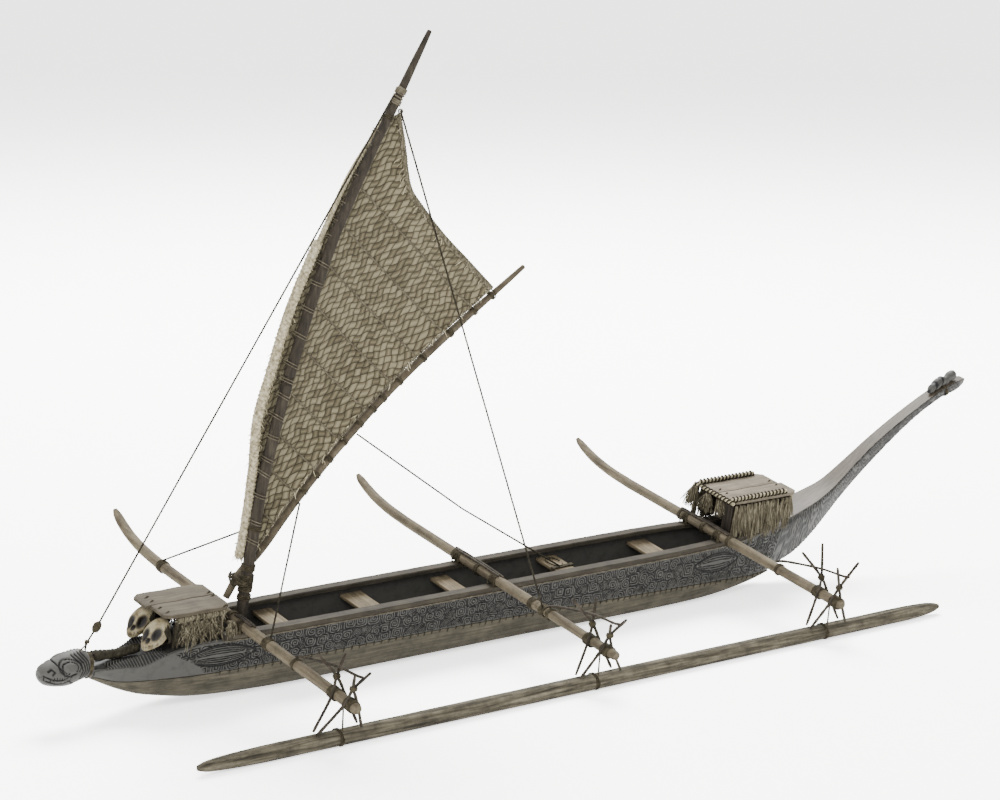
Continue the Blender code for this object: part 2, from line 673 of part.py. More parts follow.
dugout_hull()
for side, hand in (("port", -1), ("starboard", 1)):
    strake("strake_" + side, hand)
    rail("rail_" + side, hand)
bow_deck()
figurehead()
ridge("bow_comb_port", -1, 1)
ridge("bow_comb_starboard", 1, 2)
for number, (x, width) in enumerate(THWARTS, start=1):
    thwart(number, x, width)
for number, ends in enumerate(zip(BOOM_X, BOOM_PORT, BOOM_TIP_LIFT, BOOM_TIP_OUT), start=1):
    boom(number, *ends)
outer_pole()
float_log()
for number in range(len(BOOM_X)):
    stick_pair(number, "inner")
    stick_pair(number, "outer")
    brace_rod(number)
house("bow_house", BOW_HOUSE, sheer)
house("stern_house", STERN_HOUSE, lambda x: sheer(x) + GAP + RAIL_DEEP)
for skull_name, x, y, z in SKULLS:
    skull(skull_name, x, y, z)
sternpost()
stern_figure()
mast()
sprit()
sail()
for line_name, radius, points in LINES:
    line(line_name, radius, points)
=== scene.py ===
# %% [markdown]
# # A carved sailing canoe
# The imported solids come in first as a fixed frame. Everything below is a look laid over them: carving, plaiting,
# lashings and wood. Most pieces take the place of a plain solid and stay exactly where that solid is.

# %% Load the frame
from math import atan2, cos, hypot, pi, radians, sin, tan
from random import Random

import bmesh
import bpy
import numpy as np
from mathutils import Matrix, Vector


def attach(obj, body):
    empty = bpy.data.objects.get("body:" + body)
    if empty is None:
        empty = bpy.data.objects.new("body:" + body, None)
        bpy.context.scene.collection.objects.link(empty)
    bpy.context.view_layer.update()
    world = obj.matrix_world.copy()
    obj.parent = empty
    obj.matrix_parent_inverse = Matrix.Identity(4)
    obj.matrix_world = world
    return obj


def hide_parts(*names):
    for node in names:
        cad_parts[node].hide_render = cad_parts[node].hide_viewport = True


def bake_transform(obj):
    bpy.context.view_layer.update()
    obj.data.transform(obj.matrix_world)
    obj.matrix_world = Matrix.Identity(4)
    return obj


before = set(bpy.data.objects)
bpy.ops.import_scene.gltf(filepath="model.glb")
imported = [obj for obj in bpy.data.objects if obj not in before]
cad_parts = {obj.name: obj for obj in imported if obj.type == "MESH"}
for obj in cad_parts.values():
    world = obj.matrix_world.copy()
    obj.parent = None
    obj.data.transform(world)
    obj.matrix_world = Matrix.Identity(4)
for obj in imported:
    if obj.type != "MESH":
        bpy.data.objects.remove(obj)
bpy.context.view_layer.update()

# %% [markdown]
# The canoe stands tipped towards its float, on its keel and the float. It is far easier to carve level, so every
# piece is modelled level, with Z up from just below the keel, and turned by this one matrix before it becomes an object.

# %% The stance
HEEL = radians(10.28)
KEEL_LOW = 0.0042
STRIP_IN, STRIP_OUT = 0.003, 0.012
STRIP_RISE = (STRIP_OUT - STRIP_IN) * tan(HEEL)
STRIP_MID = Vector((0.0, -(STRIP_IN + STRIP_OUT) / 2, KEEL_LOW + STRIP_RISE / 2))
TIP = Matrix.Rotation(HEEL, 4, "X")
STANCE = Matrix.Translation(-(TIP @ STRIP_MID)) @ TIP
print("stance lifts the keel by %.2f mm" % (STANCE.translation.z * 1000))

# %% [markdown]
# The camera comes before the looks, so that each piece can be compared with the photograph as it is made. A long
# lens keeps the perspective as flat as a catalogue picture's.

# %% Camera
camera_data = bpy.data.cameras.new("catalogue_camera")
camera_data.lens = 108.0
camera_data.sensor_width = 36.0
camera_data.clip_end = 100.0
camera = bpy.data.objects.new("catalogue_camera", camera_data)
bpy.context.collection.objects.link(camera)
camera.location = (-1.3486, -1.76961, 0.65031)
camera.rotation_euler = (radians(78.3214), radians(-0.7444), radians(-37.5977))
bpy.context.scene.camera = camera

# %% [markdown]
# Museum pictures are lit by big soft boxes on white paper. One large lamp above and behind gives the pale tops and
# the soft shadow under the hull, a weaker one beside the camera opens the carved sides.

# %% Floor and light


def linear(code):
    """An sRGB hex colour as Blender's linear values."""
    parts = [int(code[k:k + 2], 16) / 255 for k in (1, 3, 5)]
    return [p / 12.92 if p <= 0.04045 else ((p + 0.055) / 1.055) ** 2.4 for p in parts] + [1.0]


def add(tree, kind, settings=None, inputs=None, links=None):
    """Add one node: its own settings, its unlinked values, and the sockets that feed it."""
    made = tree.nodes.new("ShaderNode" + kind)
    for key, value in (settings or {}).items():
        setattr(made, key, value)
    for key, value in (inputs or {}).items():
        made.inputs[key].default_value = value
    for key, source in (links or {}).items():
        tree.links.new(source, made.inputs[key])
    return made


def new_material(name):
    made = bpy.data.materials.new(name)
    made.use_nodes = True
    return made, made.node_tree, made.node_tree.nodes["Principled BSDF"]


floor_bm = bmesh.new()
bmesh.ops.create_grid(floor_bm, x_segments=1, y_segments=1, size=30.0)
floor_mesh = bpy.data.meshes.new("paper_floor")
floor_bm.to_mesh(floor_mesh)
floor_bm.free()
floor = bpy.data.objects.new("paper_floor", floor_mesh)
bpy.context.collection.objects.link(floor)
paper, paper_tree, paper_shader = new_material("white_background_paper")
paper_shader.inputs["Base Color"].default_value = linear("#f7f7f5")
paper_shader.inputs["Roughness"].default_value = 0.9
paper_shader.inputs["Specular IOR Level"].default_value = 0.1
paper_shader.inputs["Emission Color"].default_value = linear("#ffffff")
paper_shader.inputs["Emission Strength"].default_value = 1.3
floor_mesh.materials.append(paper)

world = bpy.data.worlds.new("studio")
world.use_nodes = True
world.node_tree.nodes["Background"].inputs["Color"].default_value = linear("#ffffff")
world.node_tree.nodes["Background"].inputs["Strength"].default_value = 2.0
bpy.context.scene.world = world

# name, place, aimed at, size, watts
LAMPS = (
    ("top_box", (0.9, 1.3, 2.2), (0.0, 0.0, 0.1), 1.6, 450.0),
    ("side_box", (-1.6, -1.2, 1.6), (0.0, 0.0, 0.1), 1.4, 110.0),
)
for lamp_name, place, aim, size, watts in LAMPS:
    lamp = bpy.data.lights.new(lamp_name, "AREA")
    lamp.size = size
    lamp.energy = watts
    lamp_object = bpy.data.objects.new(lamp_name, lamp)
    bpy.context.collection.objects.link(lamp_object)
    lamp_object.location = place
    lamp_object.rotation_euler = (Vector(aim) - Vector(place)).to_track_quat("-Z", "Y").to_euler()
print("studio set, lamps:", len(LAMPS))

# %% [markdown]
# ## Finishes
# The wood is old, unvarnished and handled: grey-brown where it is bare, nearly black where it is stained and carved.
# Its grain is a noise stretched along the timber, and a second, broad noise lays the grime over it.

# %% Wood finishes


# Colours are written as they look under the studio's strong light; the surfaces themselves are darker.
ALBEDO = 0.24
WARM, NEUTRAL = (1.0, 0.99, 0.92), (1.0, 1.02, 1.03)


def ramp(tree, factor, stops, bright=1.0, tint=WARM):
    """A colour ramp fed by one value; stops are (place, hex colour)."""
    made = add(tree, "ValToRGB", links={"Fac": factor})
    band = made.color_ramp
    for _ in stops[2:]:
        band.elements.new(0.5)
    for element, (place, code) in zip(band.elements, stops):
        element.position = place
        element.color = [part * ALBEDO * bright * t for part, t in zip(linear(code), tint)] + [1.0]
    return made.outputs["Color"]


def aged_wood(name, stops, grain, grime="#1f1d1a", grime_share=0.5, bright=1.0, tint=WARM, roughness=0.85, bump=0.45):
    """Bare old timber. Grain is in stripes per metre along X, Y and Z of the canoe."""
    made, tree, shader = new_material(name)
    place = add(tree, "TexCoord").outputs["Object"]
    level = add(tree, "Mapping", {"vector_type": "TEXTURE"}, {"Rotation": (HEEL, 0, 0)}, {"Vector": place})
    along = add(tree, "Mapping", inputs={"Scale": grain}, links={"Vector": level.outputs["Vector"]})
    fibres = add(tree, "TexNoise", inputs={"Scale": 1.0, "Detail": 6.0, "Roughness": 0.62, "Distortion": 0.25},
                 links={"Vector": along.outputs["Vector"]})
    blotch = add(tree, "TexNoise", inputs={"Scale": 60.0, "Detail": 6.0, "Roughness": 0.75},
                 links={"Vector": level.outputs["Vector"]})
    wood = ramp(tree, fibres.outputs["Fac"], stops, bright, tint)
    cover = add(tree, "MapRange", inputs={"From Min": 0.42, "From Max": 0.70, "To Max": grime_share},
                links={"Value": blotch.outputs["Fac"]})
    dirty = add(tree, "Mix", {"data_type": "RGBA"}, {"B": [part * 0.25 for part in linear(grime)]},
                {"Factor": cover.outputs["Result"], "A": wood})
    tree.links.new(dirty.outputs["Result"], shader.inputs["Base Color"])
    height = add(tree, "Bump", inputs={"Strength": bump, "Distance": 0.0006}, links={"Height": fibres.outputs["Fac"]})
    tree.links.new(height.outputs["Normal"], shader.inputs["Normal"])
    shader.inputs["Roughness"].default_value = roughness
    shader.inputs["Specular IOR Level"].default_value = 0.08
    return made


# Breadfruit wood of the log hull, bare and weathered
HULL_WOOD = aged_wood("weathered_breadfruit_wood", ((0.30, "#423e38"), (0.5, "#5a564c"), (0.72, "#6e685c")),
                      (26, 380, 520), "#2a2925", 0.55, 1.6)
# The lighter cap rails and seats, worn by hands
RAIL_WOOD = aged_wood("hand_worn_rail_wood", ((0.30, "#4d463b"), (0.5, "#645c4e"), (0.72, "#766c5c")),
                      (24, 420, 420), "#292623", 0.6, 0.7, NEUTRAL)
SEAT_WOOD = aged_wood("adzed_seat_wood", ((0.30, "#5a5041"), (0.5, "#706553"), (0.72, "#837762")),
                      (420, 30, 420), "#2c2821", 0.5, 1.65)
ROOF_WOOD = aged_wood("split_roof_board", ((0.30, "#60594d"), (0.5, "#746b5c"), (0.72, "#867c6b")),
                      (22, 420, 420), "#342f28", 0.5, 0.85)
PALE_ROOF = aged_wood("pale_split_roof_board", ((0.30, "#6f665a"), (0.5, "#857b6e"), (0.72, "#978d80")),
                      (22, 420, 420), "#3d382f", 0.35, 1.3)
# Peeled hibiscus poles: pale pinkish brown with grey streaks
POLE_WOOD = aged_wood("peeled_hibiscus_pole", ((0.30, "#5c5346"), (0.5, "#766c5b"), (0.72, "#8b816f")),
                      (420, 26, 420), "#35302a", 0.55, 1.3)
SPAR_WOOD = aged_wood("peeled_spar", ((0.30, "#50473b"), (0.5, "#685f50"), (0.72, "#7c7262")),
                      (120, 300, 120), "#302c24", 0.5, 1.2)
FLOAT_WOOD = aged_wood("waterworn_float_wood", ((0.34, "#2f2c25"), (0.5, "#5b564a"), (0.66, "#7f786a")),
                       (22, 420, 420), "#282621", 0.65, 1.6)
MAST_WOOD = aged_wood("dark_mast_wood", ((0.30, "#292622"), (0.5, "#3e3832"), (0.72, "#524c42")),
                      (380, 380, 30), "#1c1a18", 0.4, 1.3)
TWIG_WOOD = aged_wood("charred_twig", ((0.30, "#26231f"), (0.5, "#403a32"), (0.72, "#5c544c")),
                      (90, 300, 90), "#1d1a17", 0.4, 1.3)
POST_WOOD = aged_wood("worn_sternpost_wood", ((0.30, "#484138"), (0.5, "#60574c"), (0.72, "#71685d")),
                      (26, 380, 380), "#2a2823", 0.5, 1.1)
print("woods:", len([m for m in bpy.data.materials if "wood" in m.name or "pole" in m.name]))

# %% [markdown]
# The sides are stained almost black and then carved, so the cuts hold the stain and the ridges rub grey. Each
# carved piece carries a "cut" value at every point, from 0 on the ridge to 1 in the groove, and the finish reads it.

# %% Carved and stained finish


def carved_stain(name, ridge="#5a5853", shoulder="#2f2e2b", cut="#020202", bare=None):
    """Stained wood rubbed grey on its ridges; bare mixes in unstained wood by the piece's own attribute."""
    made, tree, shader = new_material(name)
    place = add(tree, "TexCoord").outputs["Object"]
    worn = add(tree, "TexNoise", inputs={"Scale": 140.0, "Detail": 6.0, "Roughness": 0.7}, links={"Vector": place})
    fine = add(tree, "TexNoise", inputs={"Scale": 900.0, "Detail": 4.0, "Roughness": 0.6}, links={"Vector": place})
    depth = add(tree, "Attribute", {"attribute_name": "cut"}).outputs["Fac"]
    uneven = add(tree, "MapRange", inputs={"From Min": 0.3, "From Max": 0.75, "To Min": -0.16, "To Max": 0.22},
                 links={"Value": worn.outputs["Fac"]}).outputs["Result"]
    total = add(tree, "Math", {"operation": "ADD"}, links={0: depth, 1: uneven}).outputs["Value"]
    colour = ramp(tree, total, ((0.0, ridge), (0.42, shoulder), (0.85, cut)), 1.15, NEUTRAL)
    if bare:
        blend = add(tree, "Attribute", {"attribute_name": "bare"}).outputs["Fac"]
        streak = add(tree, "Mapping", inputs={"Scale": (60, 500, 120)}, links={"Vector": place}).outputs["Vector"]
        grain = add(tree, "TexNoise", inputs={"Scale": 1.0, "Detail": 5.0, "Roughness": 0.6}, links={"Vector": streak})
        plain = ramp(tree, grain.outputs["Fac"], ((0.32, bare[0]), (0.68, bare[1])))
        colour = add(tree, "Mix", {"data_type": "RGBA"}, links={"Factor": blend, "A": colour, "B": plain}).outputs["Result"]
    tree.links.new(colour, shader.inputs["Base Color"])
    height = add(tree, "Bump", inputs={"Strength": 0.35, "Distance": 0.0004}, links={"Height": fine.outputs["Fac"]})
    tree.links.new(height.outputs["Normal"], shader.inputs["Normal"])
    shader.inputs["Roughness"].default_value = 0.6
    shader.inputs["Specular IOR Level"].default_value = 0.12
    return made


CARVED = carved_stain("stained_carved_wood")
CARVED_POST = carved_stain("stained_carved_post", bare=("#544b40", "#746b5e"))
print("carved finishes ready")

# %% [markdown]
# Cords are hand-rolled coconut fibre, the straw is dried grass and the mat is plaited pandanus leaf. All three vary
# from strand to strand, which a slow noise gives along the piece.

# %% Fibre finishes


def fibre(name, stops, scale=260.0, bright=1.0, stretch=1.0, roughness=0.85, bump=0.5):
    """Dry plant fibre with strand to strand colour; a stretch below 1 draws the tones out upwards."""
    made, tree, shader = new_material(name)
    place = add(tree, "TexCoord").outputs["Object"]
    drawn = add(tree, "Mapping", inputs={"Scale": (1.0, 1.0, stretch)}, links={"Vector": place}).outputs["Vector"]
    tone = add(tree, "TexNoise", inputs={"Scale": scale, "Detail": 4.0, "Roughness": 0.7}, links={"Vector": drawn})
    hair = add(tree, "TexNoise", inputs={"Scale": 1800.0, "Detail": 2.0}, links={"Vector": place})
    tree.links.new(ramp(tree, tone.outputs["Fac"], stops, bright), shader.inputs["Base Color"])
    height = add(tree, "Bump", inputs={"Strength": bump, "Distance": 0.0003}, links={"Height": hair.outputs["Fac"]})
    tree.links.new(height.outputs["Normal"], shader.inputs["Normal"])
    shader.inputs["Roughness"].default_value = roughness
    shader.inputs["Specular IOR Level"].default_value = 0.05
    return made


SENNIT = fibre("coconut_sennit_cord", ((0.3, "#302c24"), (0.5, "#4c4638"), (0.75, "#746b5a")))
DARK_CORD = fibre("dark_sennit_line", ((0.3, "#25231d"), (0.55, "#3f3b31"), (0.8, "#5f594c")))
PALE_CORD = fibre("bark_fibre_lacing", ((0.3, "#5a5346"), (0.5, "#7d7566"), (0.75, "#a39b88")))
STRAW = fibre("dried_grass_thatch", ((0.3, "#2c2820"), (0.48, "#6c6555"), (0.68, "#b7af99")), 900.0, 1.0, 0.06)
# A darker copy of the dried grass colours: painted shade for the grass walls that stand under the roof boards.
SHADED_STRAW = fibre("sooty_grass_thatch", ((0.3, "#1d1a15"), (0.5, "#49443a"), (0.72, "#857d6b")), 900.0, 0.8, 0.06)
EDGING = fibre("plaited_mat_edging", ((0.3, "#6f6653"), (0.48, "#b3a88e"), (0.68, "#e9e0c8")), 420.0, 1.35)

BONE, bone_tree, bone_shader = new_material("old_carved_bone")
bone_place = add(bone_tree, "TexCoord").outputs["Object"]
bone_tone = add(bone_tree, "TexNoise", inputs={"Scale": 160.0, "Detail": 5.0, "Roughness": 0.6},
                links={"Vector": bone_place})
bone_painted_shade = add(bone_tree, "Attribute", {"attribute_name": "cut"}).outputs["Fac"]
bone_plain = ramp(bone_tree, bone_tone.outputs["Fac"], ((0.32, "#5a4b31"), (0.45, "#978a6b"), (0.7, "#c2b89e")), 1.2)
# The skulls' cut value mixes the bone towards near black: painted shade in the sockets, nose, side hollows and teeth.
bone_with_painted_shade = add(bone_tree, "Mix", {"data_type": "RGBA"}, {"B": linear("#070503")},
               {"Factor": bone_painted_shade, "A": bone_plain})
bone_tree.links.new(bone_with_painted_shade.outputs["Result"], bone_shader.inputs["Base Color"])
bone_shader.inputs["Roughness"].default_value = 0.6
bone_shader.inputs["Specular IOR Level"].default_value = 0.15
print("fibres and bone ready")

# %% [markdown]
# ## Tools for making pieces
# Two helpers do most of the work. skin lays a grid over a surface given by a function of two shares, which suits
# hulls, poles and carving. cords turns routes of points into round strands, which suits everything that is tied.

# %% Helpers for surfaces


def smooth_steps(share):
    return share * share * (3 - 2 * share)


def curve_value(table, x, column):
    """A measure read from a table of stations with its first column rising, smoothly between the rows."""
    last = len(table) - 1
    if x <= table[0][0]:
        return table[0][column]
    if x >= table[last][0]:
        return table[last][column]
    k = next(n for n in range(last) if table[n + 1][0] >= x)
    x0, x1 = table[k][0], table[k + 1][0]
    y0, y1 = table[k][column], table[k + 1][column]
    before, after = max(k - 1, 0), min(k + 2, last)
    slope0 = (y1 - table[before][column]) / (x1 - table[before][0])
    slope1 = (table[after][column] - y0) / (table[after][0] - x0)
    t, h = (x - x0) / (x1 - x0), x1 - x0
    bend = (2 * t ** 3 - 3 * t ** 2 + 1) * y0 + (t ** 3 - 2 * t ** 2 + t) * h * slope0
    return bend + (3 * t ** 2 - 2 * t ** 3) * y1 + (t ** 3 - t ** 2) * h * slope1


def skin(across, along, place, closed=False, caps=False):
    """A grid laid over a surface. place(u, v) gives a point, or a point and its cut depth."""
    bm = bmesh.new()
    cut = bm.verts.layers.float.new("cut")
    bmesh.ops.create_grid(bm, x_segments=across, y_segments=along, size=0.5)
    for vert in bm.verts:
        spot = place(vert.co.x + 0.5, vert.co.y + 0.5)
        if isinstance(spot, tuple) and len(spot) == 2:
            spot, vert[cut] = spot
        vert.co = spot
    if closed:
        bmesh.ops.remove_doubles(bm, verts=bm.verts[:], dist=1e-6)
    if caps:
        bmesh.ops.holes_fill(bm, edges=bm.edges[:], sides=0)
    bmesh.ops.recalc_face_normals(bm, faces=bm.faces[:])
    return bm


def finish_piece(name, bm, finish, body="hull", replaced=(), sharp=40.0):
    """Tip a level mesh into the stance and make it a piece on its body."""
    bm.transform(STANCE)
    mesh = bpy.data.meshes.new(name)
    bm.to_mesh(mesh)
    bm.free()
    mesh.shade_smooth()
    mesh.set_sharp_from_angle(angle=radians(sharp))
    mesh.materials.append(finish)
    made = bpy.data.objects.new(name, mesh)
    bpy.context.collection.objects.link(made)
    if body:
        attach(made, body)
    if replaced:
        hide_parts(*replaced)
    return made


# %% Helpers for cords


def cords(name, routes, finish, body="hull", replaced=(), sides=1):
    """Round strands along routes of (point, radius), turned to a mesh in the stance."""
    curve = bpy.data.curves.new(name, "CURVE")
    curve.dimensions = "3D"
    curve.bevel_depth = 1.0
    curve.bevel_resolution = sides
    curve.use_fill_caps = True
    for route in routes:
        spline = curve.splines.new("POLY")
        spline.points.add(len(route) - 1)
        for point, (spot, radius) in zip(spline.points, route):
            point.co = (*spot, 1.0)
            point.radius = radius
    holder = bpy.data.objects.new(name, curve)
    bpy.context.collection.objects.link(holder)
    mesh = bpy.data.meshes.new_from_object(holder.evaluated_get(bpy.context.evaluated_depsgraph_get()))
    bpy.data.objects.remove(holder)
    bm = bmesh.new()
    bm.from_mesh(mesh)
    bpy.data.meshes.remove(mesh)
    return finish_piece(name, bm, finish, body, replaced, sharp=60.0)


def smooth_route(points, steps):
    """Points on a smooth line through a few given ones."""
    points = [Vector(p) for p in points]
    table = [(k, *p) for k, p in enumerate(points)]
    count = (len(points) - 1) * steps
    return [Vector([curve_value(table, k / steps, c) for c in (1, 2, 3)]) for k in range(count + 1)]


def laid(points, radius, pitch, strands=2, step=None):
    """Twisted strands round a line, as a hand-rolled cord."""
    points = [Vector(p) for p in points]
    lengths = [0.0]
    for a, b in zip(points, points[1:]):
        lengths.append(lengths[-1] + (b - a).length)
    step = step or pitch / 6
    count = max(2, int(lengths[-1] / step))
    routes = [[] for _ in range(strands)]
    k = 0
    for n in range(count + 1):
        s = lengths[-1] * n / count
        while k < len(points) - 2 and lengths[k + 1] < s:
            k += 1
        share = (s - lengths[k]) / max(lengths[k + 1] - lengths[k], 1e-9)
        spot = points[k].lerp(points[k + 1], share)
        ahead = (points[k + 1] - points[k]).normalized()
        side = ahead.cross(Vector((0.31, 0.17, 0.93))).normalized()
        up = side.cross(ahead)
        for strand in range(strands):
            turn = 2 * pi * (s / pitch + strand / strands)
            off = side * cos(turn) + up * sin(turn)
            routes[strand].append((spot + off * radius * 0.5, radius * 0.62))
    return routes


def winding(centre, axis, reach, turns, width, strand, start=0.0, oval=1.0, up=(0, 0, 1)):
    """A cord wound round a pole: reach is the radius to the strand's middle, oval stretches it upwards."""
    centre, axis = Vector(centre), Vector(axis).normalized()
    side = axis.cross(Vector(up)).normalized()
    top = side.cross(axis)
    count = max(8, int(turns * 14))
    route = []
    for n in range(count + 1):
        share = n / count
        turn = start + 2 * pi * turns * share
        spot = centre + axis * (width * (share - 0.5)) + side * (reach * cos(turn)) + top * (reach * oval * sin(turn))
        route.append((spot, strand))
    return route


print("helpers ready")

# %% [markdown]
# ## Hull
# The hull is a log hollowed out, with a plank stitched along each side. Its lines repeat the solid's stations and are
# read smoothly between them, so the curves stay fair.

# %% Hull lines
# x, keel height, seam height, half beam at the seam, sheer height, half beam at the sheer
STATIONS = (
    (-0.3380, 0.0340, 0.0372, 0.0060, 0.0420, 0.0076),
    (-0.3200, 0.0245, 0.0318, 0.0098, 0.0432, 0.0112),
    (-0.3020, 0.0172, 0.0306, 0.0134, 0.0432, 0.0146),
    (-0.2880, 0.0137, 0.0303, 0.0158, 0.0488, 0.0172),
    (-0.2620, 0.0087, 0.0301, 0.0195, 0.0548, 0.0212),
    (-0.2260, 0.0058, 0.0305, 0.0225, 0.0558, 0.0245),
    (-0.1700, KEEL_LOW, 0.0312, 0.0243, 0.0560, 0.0262),
    (-0.0600, KEEL_LOW, 0.0314, 0.0250, 0.0560, 0.0266),
    (0.0700, KEEL_LOW, 0.0290, 0.0250, 0.0560, 0.0266),
    (0.1700, KEEL_LOW, 0.0266, 0.0245, 0.0560, 0.0262),
    (0.2150, 0.0046, 0.0245, 0.0225, 0.0560, 0.0245),
    (0.2420, 0.0058, 0.0222, 0.0195, 0.0560, 0.0226),
    (0.2620, 0.0082, 0.0202, 0.0168, 0.0576, 0.0208),
    (0.2850, 0.0112, 0.0178, 0.0125, 0.0600, 0.0180),
    (0.3027, 0.0148, 0.0168, 0.0080, 0.0630, 0.0158),
)
KEEL, SEAM, SEAM_BEAM, SHEER, SHEER_BEAM = 1, 2, 3, 4, 5
BILGE = ((0.79, 0.24), (0.935, 0.50), (0.985, 0.76))
BOW_X, STERN_X = STATIONS[0][0], STATIONS[-1][0]
GAP = 0.0003
WALL, LOG_FLOOR = 0.0032, 0.005
HOLLOW = (-0.262, 0.292)
STRAKE_THICK = 0.0026
RAIL_WIDE, RAIL_DEEP = 0.008, 0.0037
RAIL = (-0.242, 0.298)


def hull(x, column):
    return curve_value(STATIONS, x, column)


print("hull length %.0f mm" % ((STERN_X - BOW_X) * 1000))

# %% [markdown]
# The log is one skin that runs down the outside, over the edge and round the trough, closed at both ends.

# %% Log hull
LOG_SIDE_POINTS = 10


def log_side(x):
    """Half of the outer section, keel to seam."""
    keel, beam = hull(x, KEEL), hull(x, SEAM_BEAM)
    depth = hull(x, SEAM) - keel
    narrow = min(1.0, beam / 0.024)
    side = [(0.0, 0.0), (STRIP_IN * narrow, 0.0), (STRIP_OUT * narrow, STRIP_RISE * narrow)]
    side += [(beam * out, depth * up) for out, up in BILGE] + [(beam, depth)]
    return [(y, min(z, depth) + keel) for y, z in side]


def log_section(x):
    """The whole section from the trough's middle over the port edge, round the bottom and back."""
    inside = min(max(x, HOLLOW[0]), HOLLOW[1])
    hollow = 1.0 if HOLLOW[0] < x < HOLLOW[1] else 0.0
    side = log_side(x)
    beam = hull(x, SEAM_BEAM) - WALL
    low, seam = hull(x, KEEL) + LOG_FLOOR, hull(x, SEAM)
    trough = [(0.0, low), (beam * 0.5, low), (beam * 0.86, low + (seam - low) * 0.3), (beam, seam)]
    trough = [(y, z * hollow + seam * (1 - hollow)) for y, z in trough]
    half = side + list(reversed(trough))
    return half


log_xs = sorted(set([BOW_X + (STERN_X - BOW_X) * k / 90 for k in range(91)] + [HOLLOW[0] - 1e-4, HOLLOW[0] + 1e-4,
                                                                            HOLLOW[1] - 1e-4, HOLLOW[1] + 1e-4]))
half_count = len(log_section(0.0))


def log_spot(u, v):
    x = log_xs[round(v * (len(log_xs) - 1))]
    k = round(u * (2 * half_count - 2))
    hand = -1 if k < half_count else 1
    y, z = log_section(x)[k if k < half_count else 2 * half_count - 2 - k]
    return Vector((x, hand * y, z))


log_bm = skin(2 * half_count - 2, len(log_xs) - 1, log_spot, closed=True, caps=True)
log_hull = finish_piece("log_hull", log_bm, HULL_WOOD, replaced=("dugout_hull",), sharp=30.0)
print("log hull faces:", len(log_hull.data.polygons))

# %% [markdown]
# Every finger's width of the side planks is carved with nested spirals and a long eye at each end, an old island
# pattern. Near each seed point the cut follows rings or squared rings round it, and where two fields meet a cut
# divides them. The grid is finer than the cuts, so the relief is real geometry.

# %% The carved pattern
CUT_PITCH = 0.00188
CUT_DEPTH = 0.00075


def pattern_seeds(length, height, step, rng):
    """Jittered rows of spiral seeds: place, squareness, hand, and start."""
    seeds = []
    rows = max(1, round(height / step))
    squares = (1.0, 2.0, 4.0, 8.0)
    for row in range(rows):
        x = rng.uniform(0.2, 0.8) * step
        while x < length:
            y = height * (row + 0.5) / rows + rng.uniform(-0.26, 0.26) * step
            seeds.append((x, y, rng.choice(squares), rng.choice((-1, 0, 1)), rng.random()))
            x += step * rng.uniform(0.65, 1.5)
    return seeds


def cut_pattern(x, y, seeds, eyes=()):
    """Depth of cut from 0 to 1 on arrays of places."""
    nearest = np.full(x.shape, 9.0)
    second = np.full(x.shape, 9.0)
    phase = np.zeros(x.shape)
    for sx, sy, square, hand, start in seeds:
        dx, dy = x - sx, y - sy
        reach = (np.abs(dx) ** square + np.abs(dy) ** square) ** (1 / square)
        turn = hand * np.arctan2(dy, dx) / (2 * pi)
        closer = reach < nearest
        second = np.where(closer, nearest, np.minimum(second, reach))
        phase = np.where(closer, reach / CUT_PITCH + turn + start * 0.3, phase)
        nearest = np.where(closer, reach, nearest)
    for ex, ey, half_long, half_high in eyes:
        lid = half_high * np.clip(1 - ((x - ex) / half_long) ** 2, 0.02, 1)
        share = np.abs(y - ey) / lid
        inside = (np.abs(x - ex) < half_long) & (share < 1.0)
        phase = np.where(inside, share * half_high / CUT_PITCH + 0.1, phase)
        second = np.where(inside, 9.0, second)
        rim = np.abs(share - 1.0) * lid
        second = np.where((np.abs(x - ex) < half_long) & (rim < 0.0006), nearest, second)
    groove = 0.5 + 0.5 * np.cos(2 * pi * phase)
    groove = np.clip((groove - 0.58) / 0.25, 0, 1)
    border = np.clip(1 - (second - nearest) / 0.0009, 0, 1)
    return np.maximum(groove, border)


# %% Carved side planks
STRAKE_ALONG, STRAKE_UP = 1400, 54


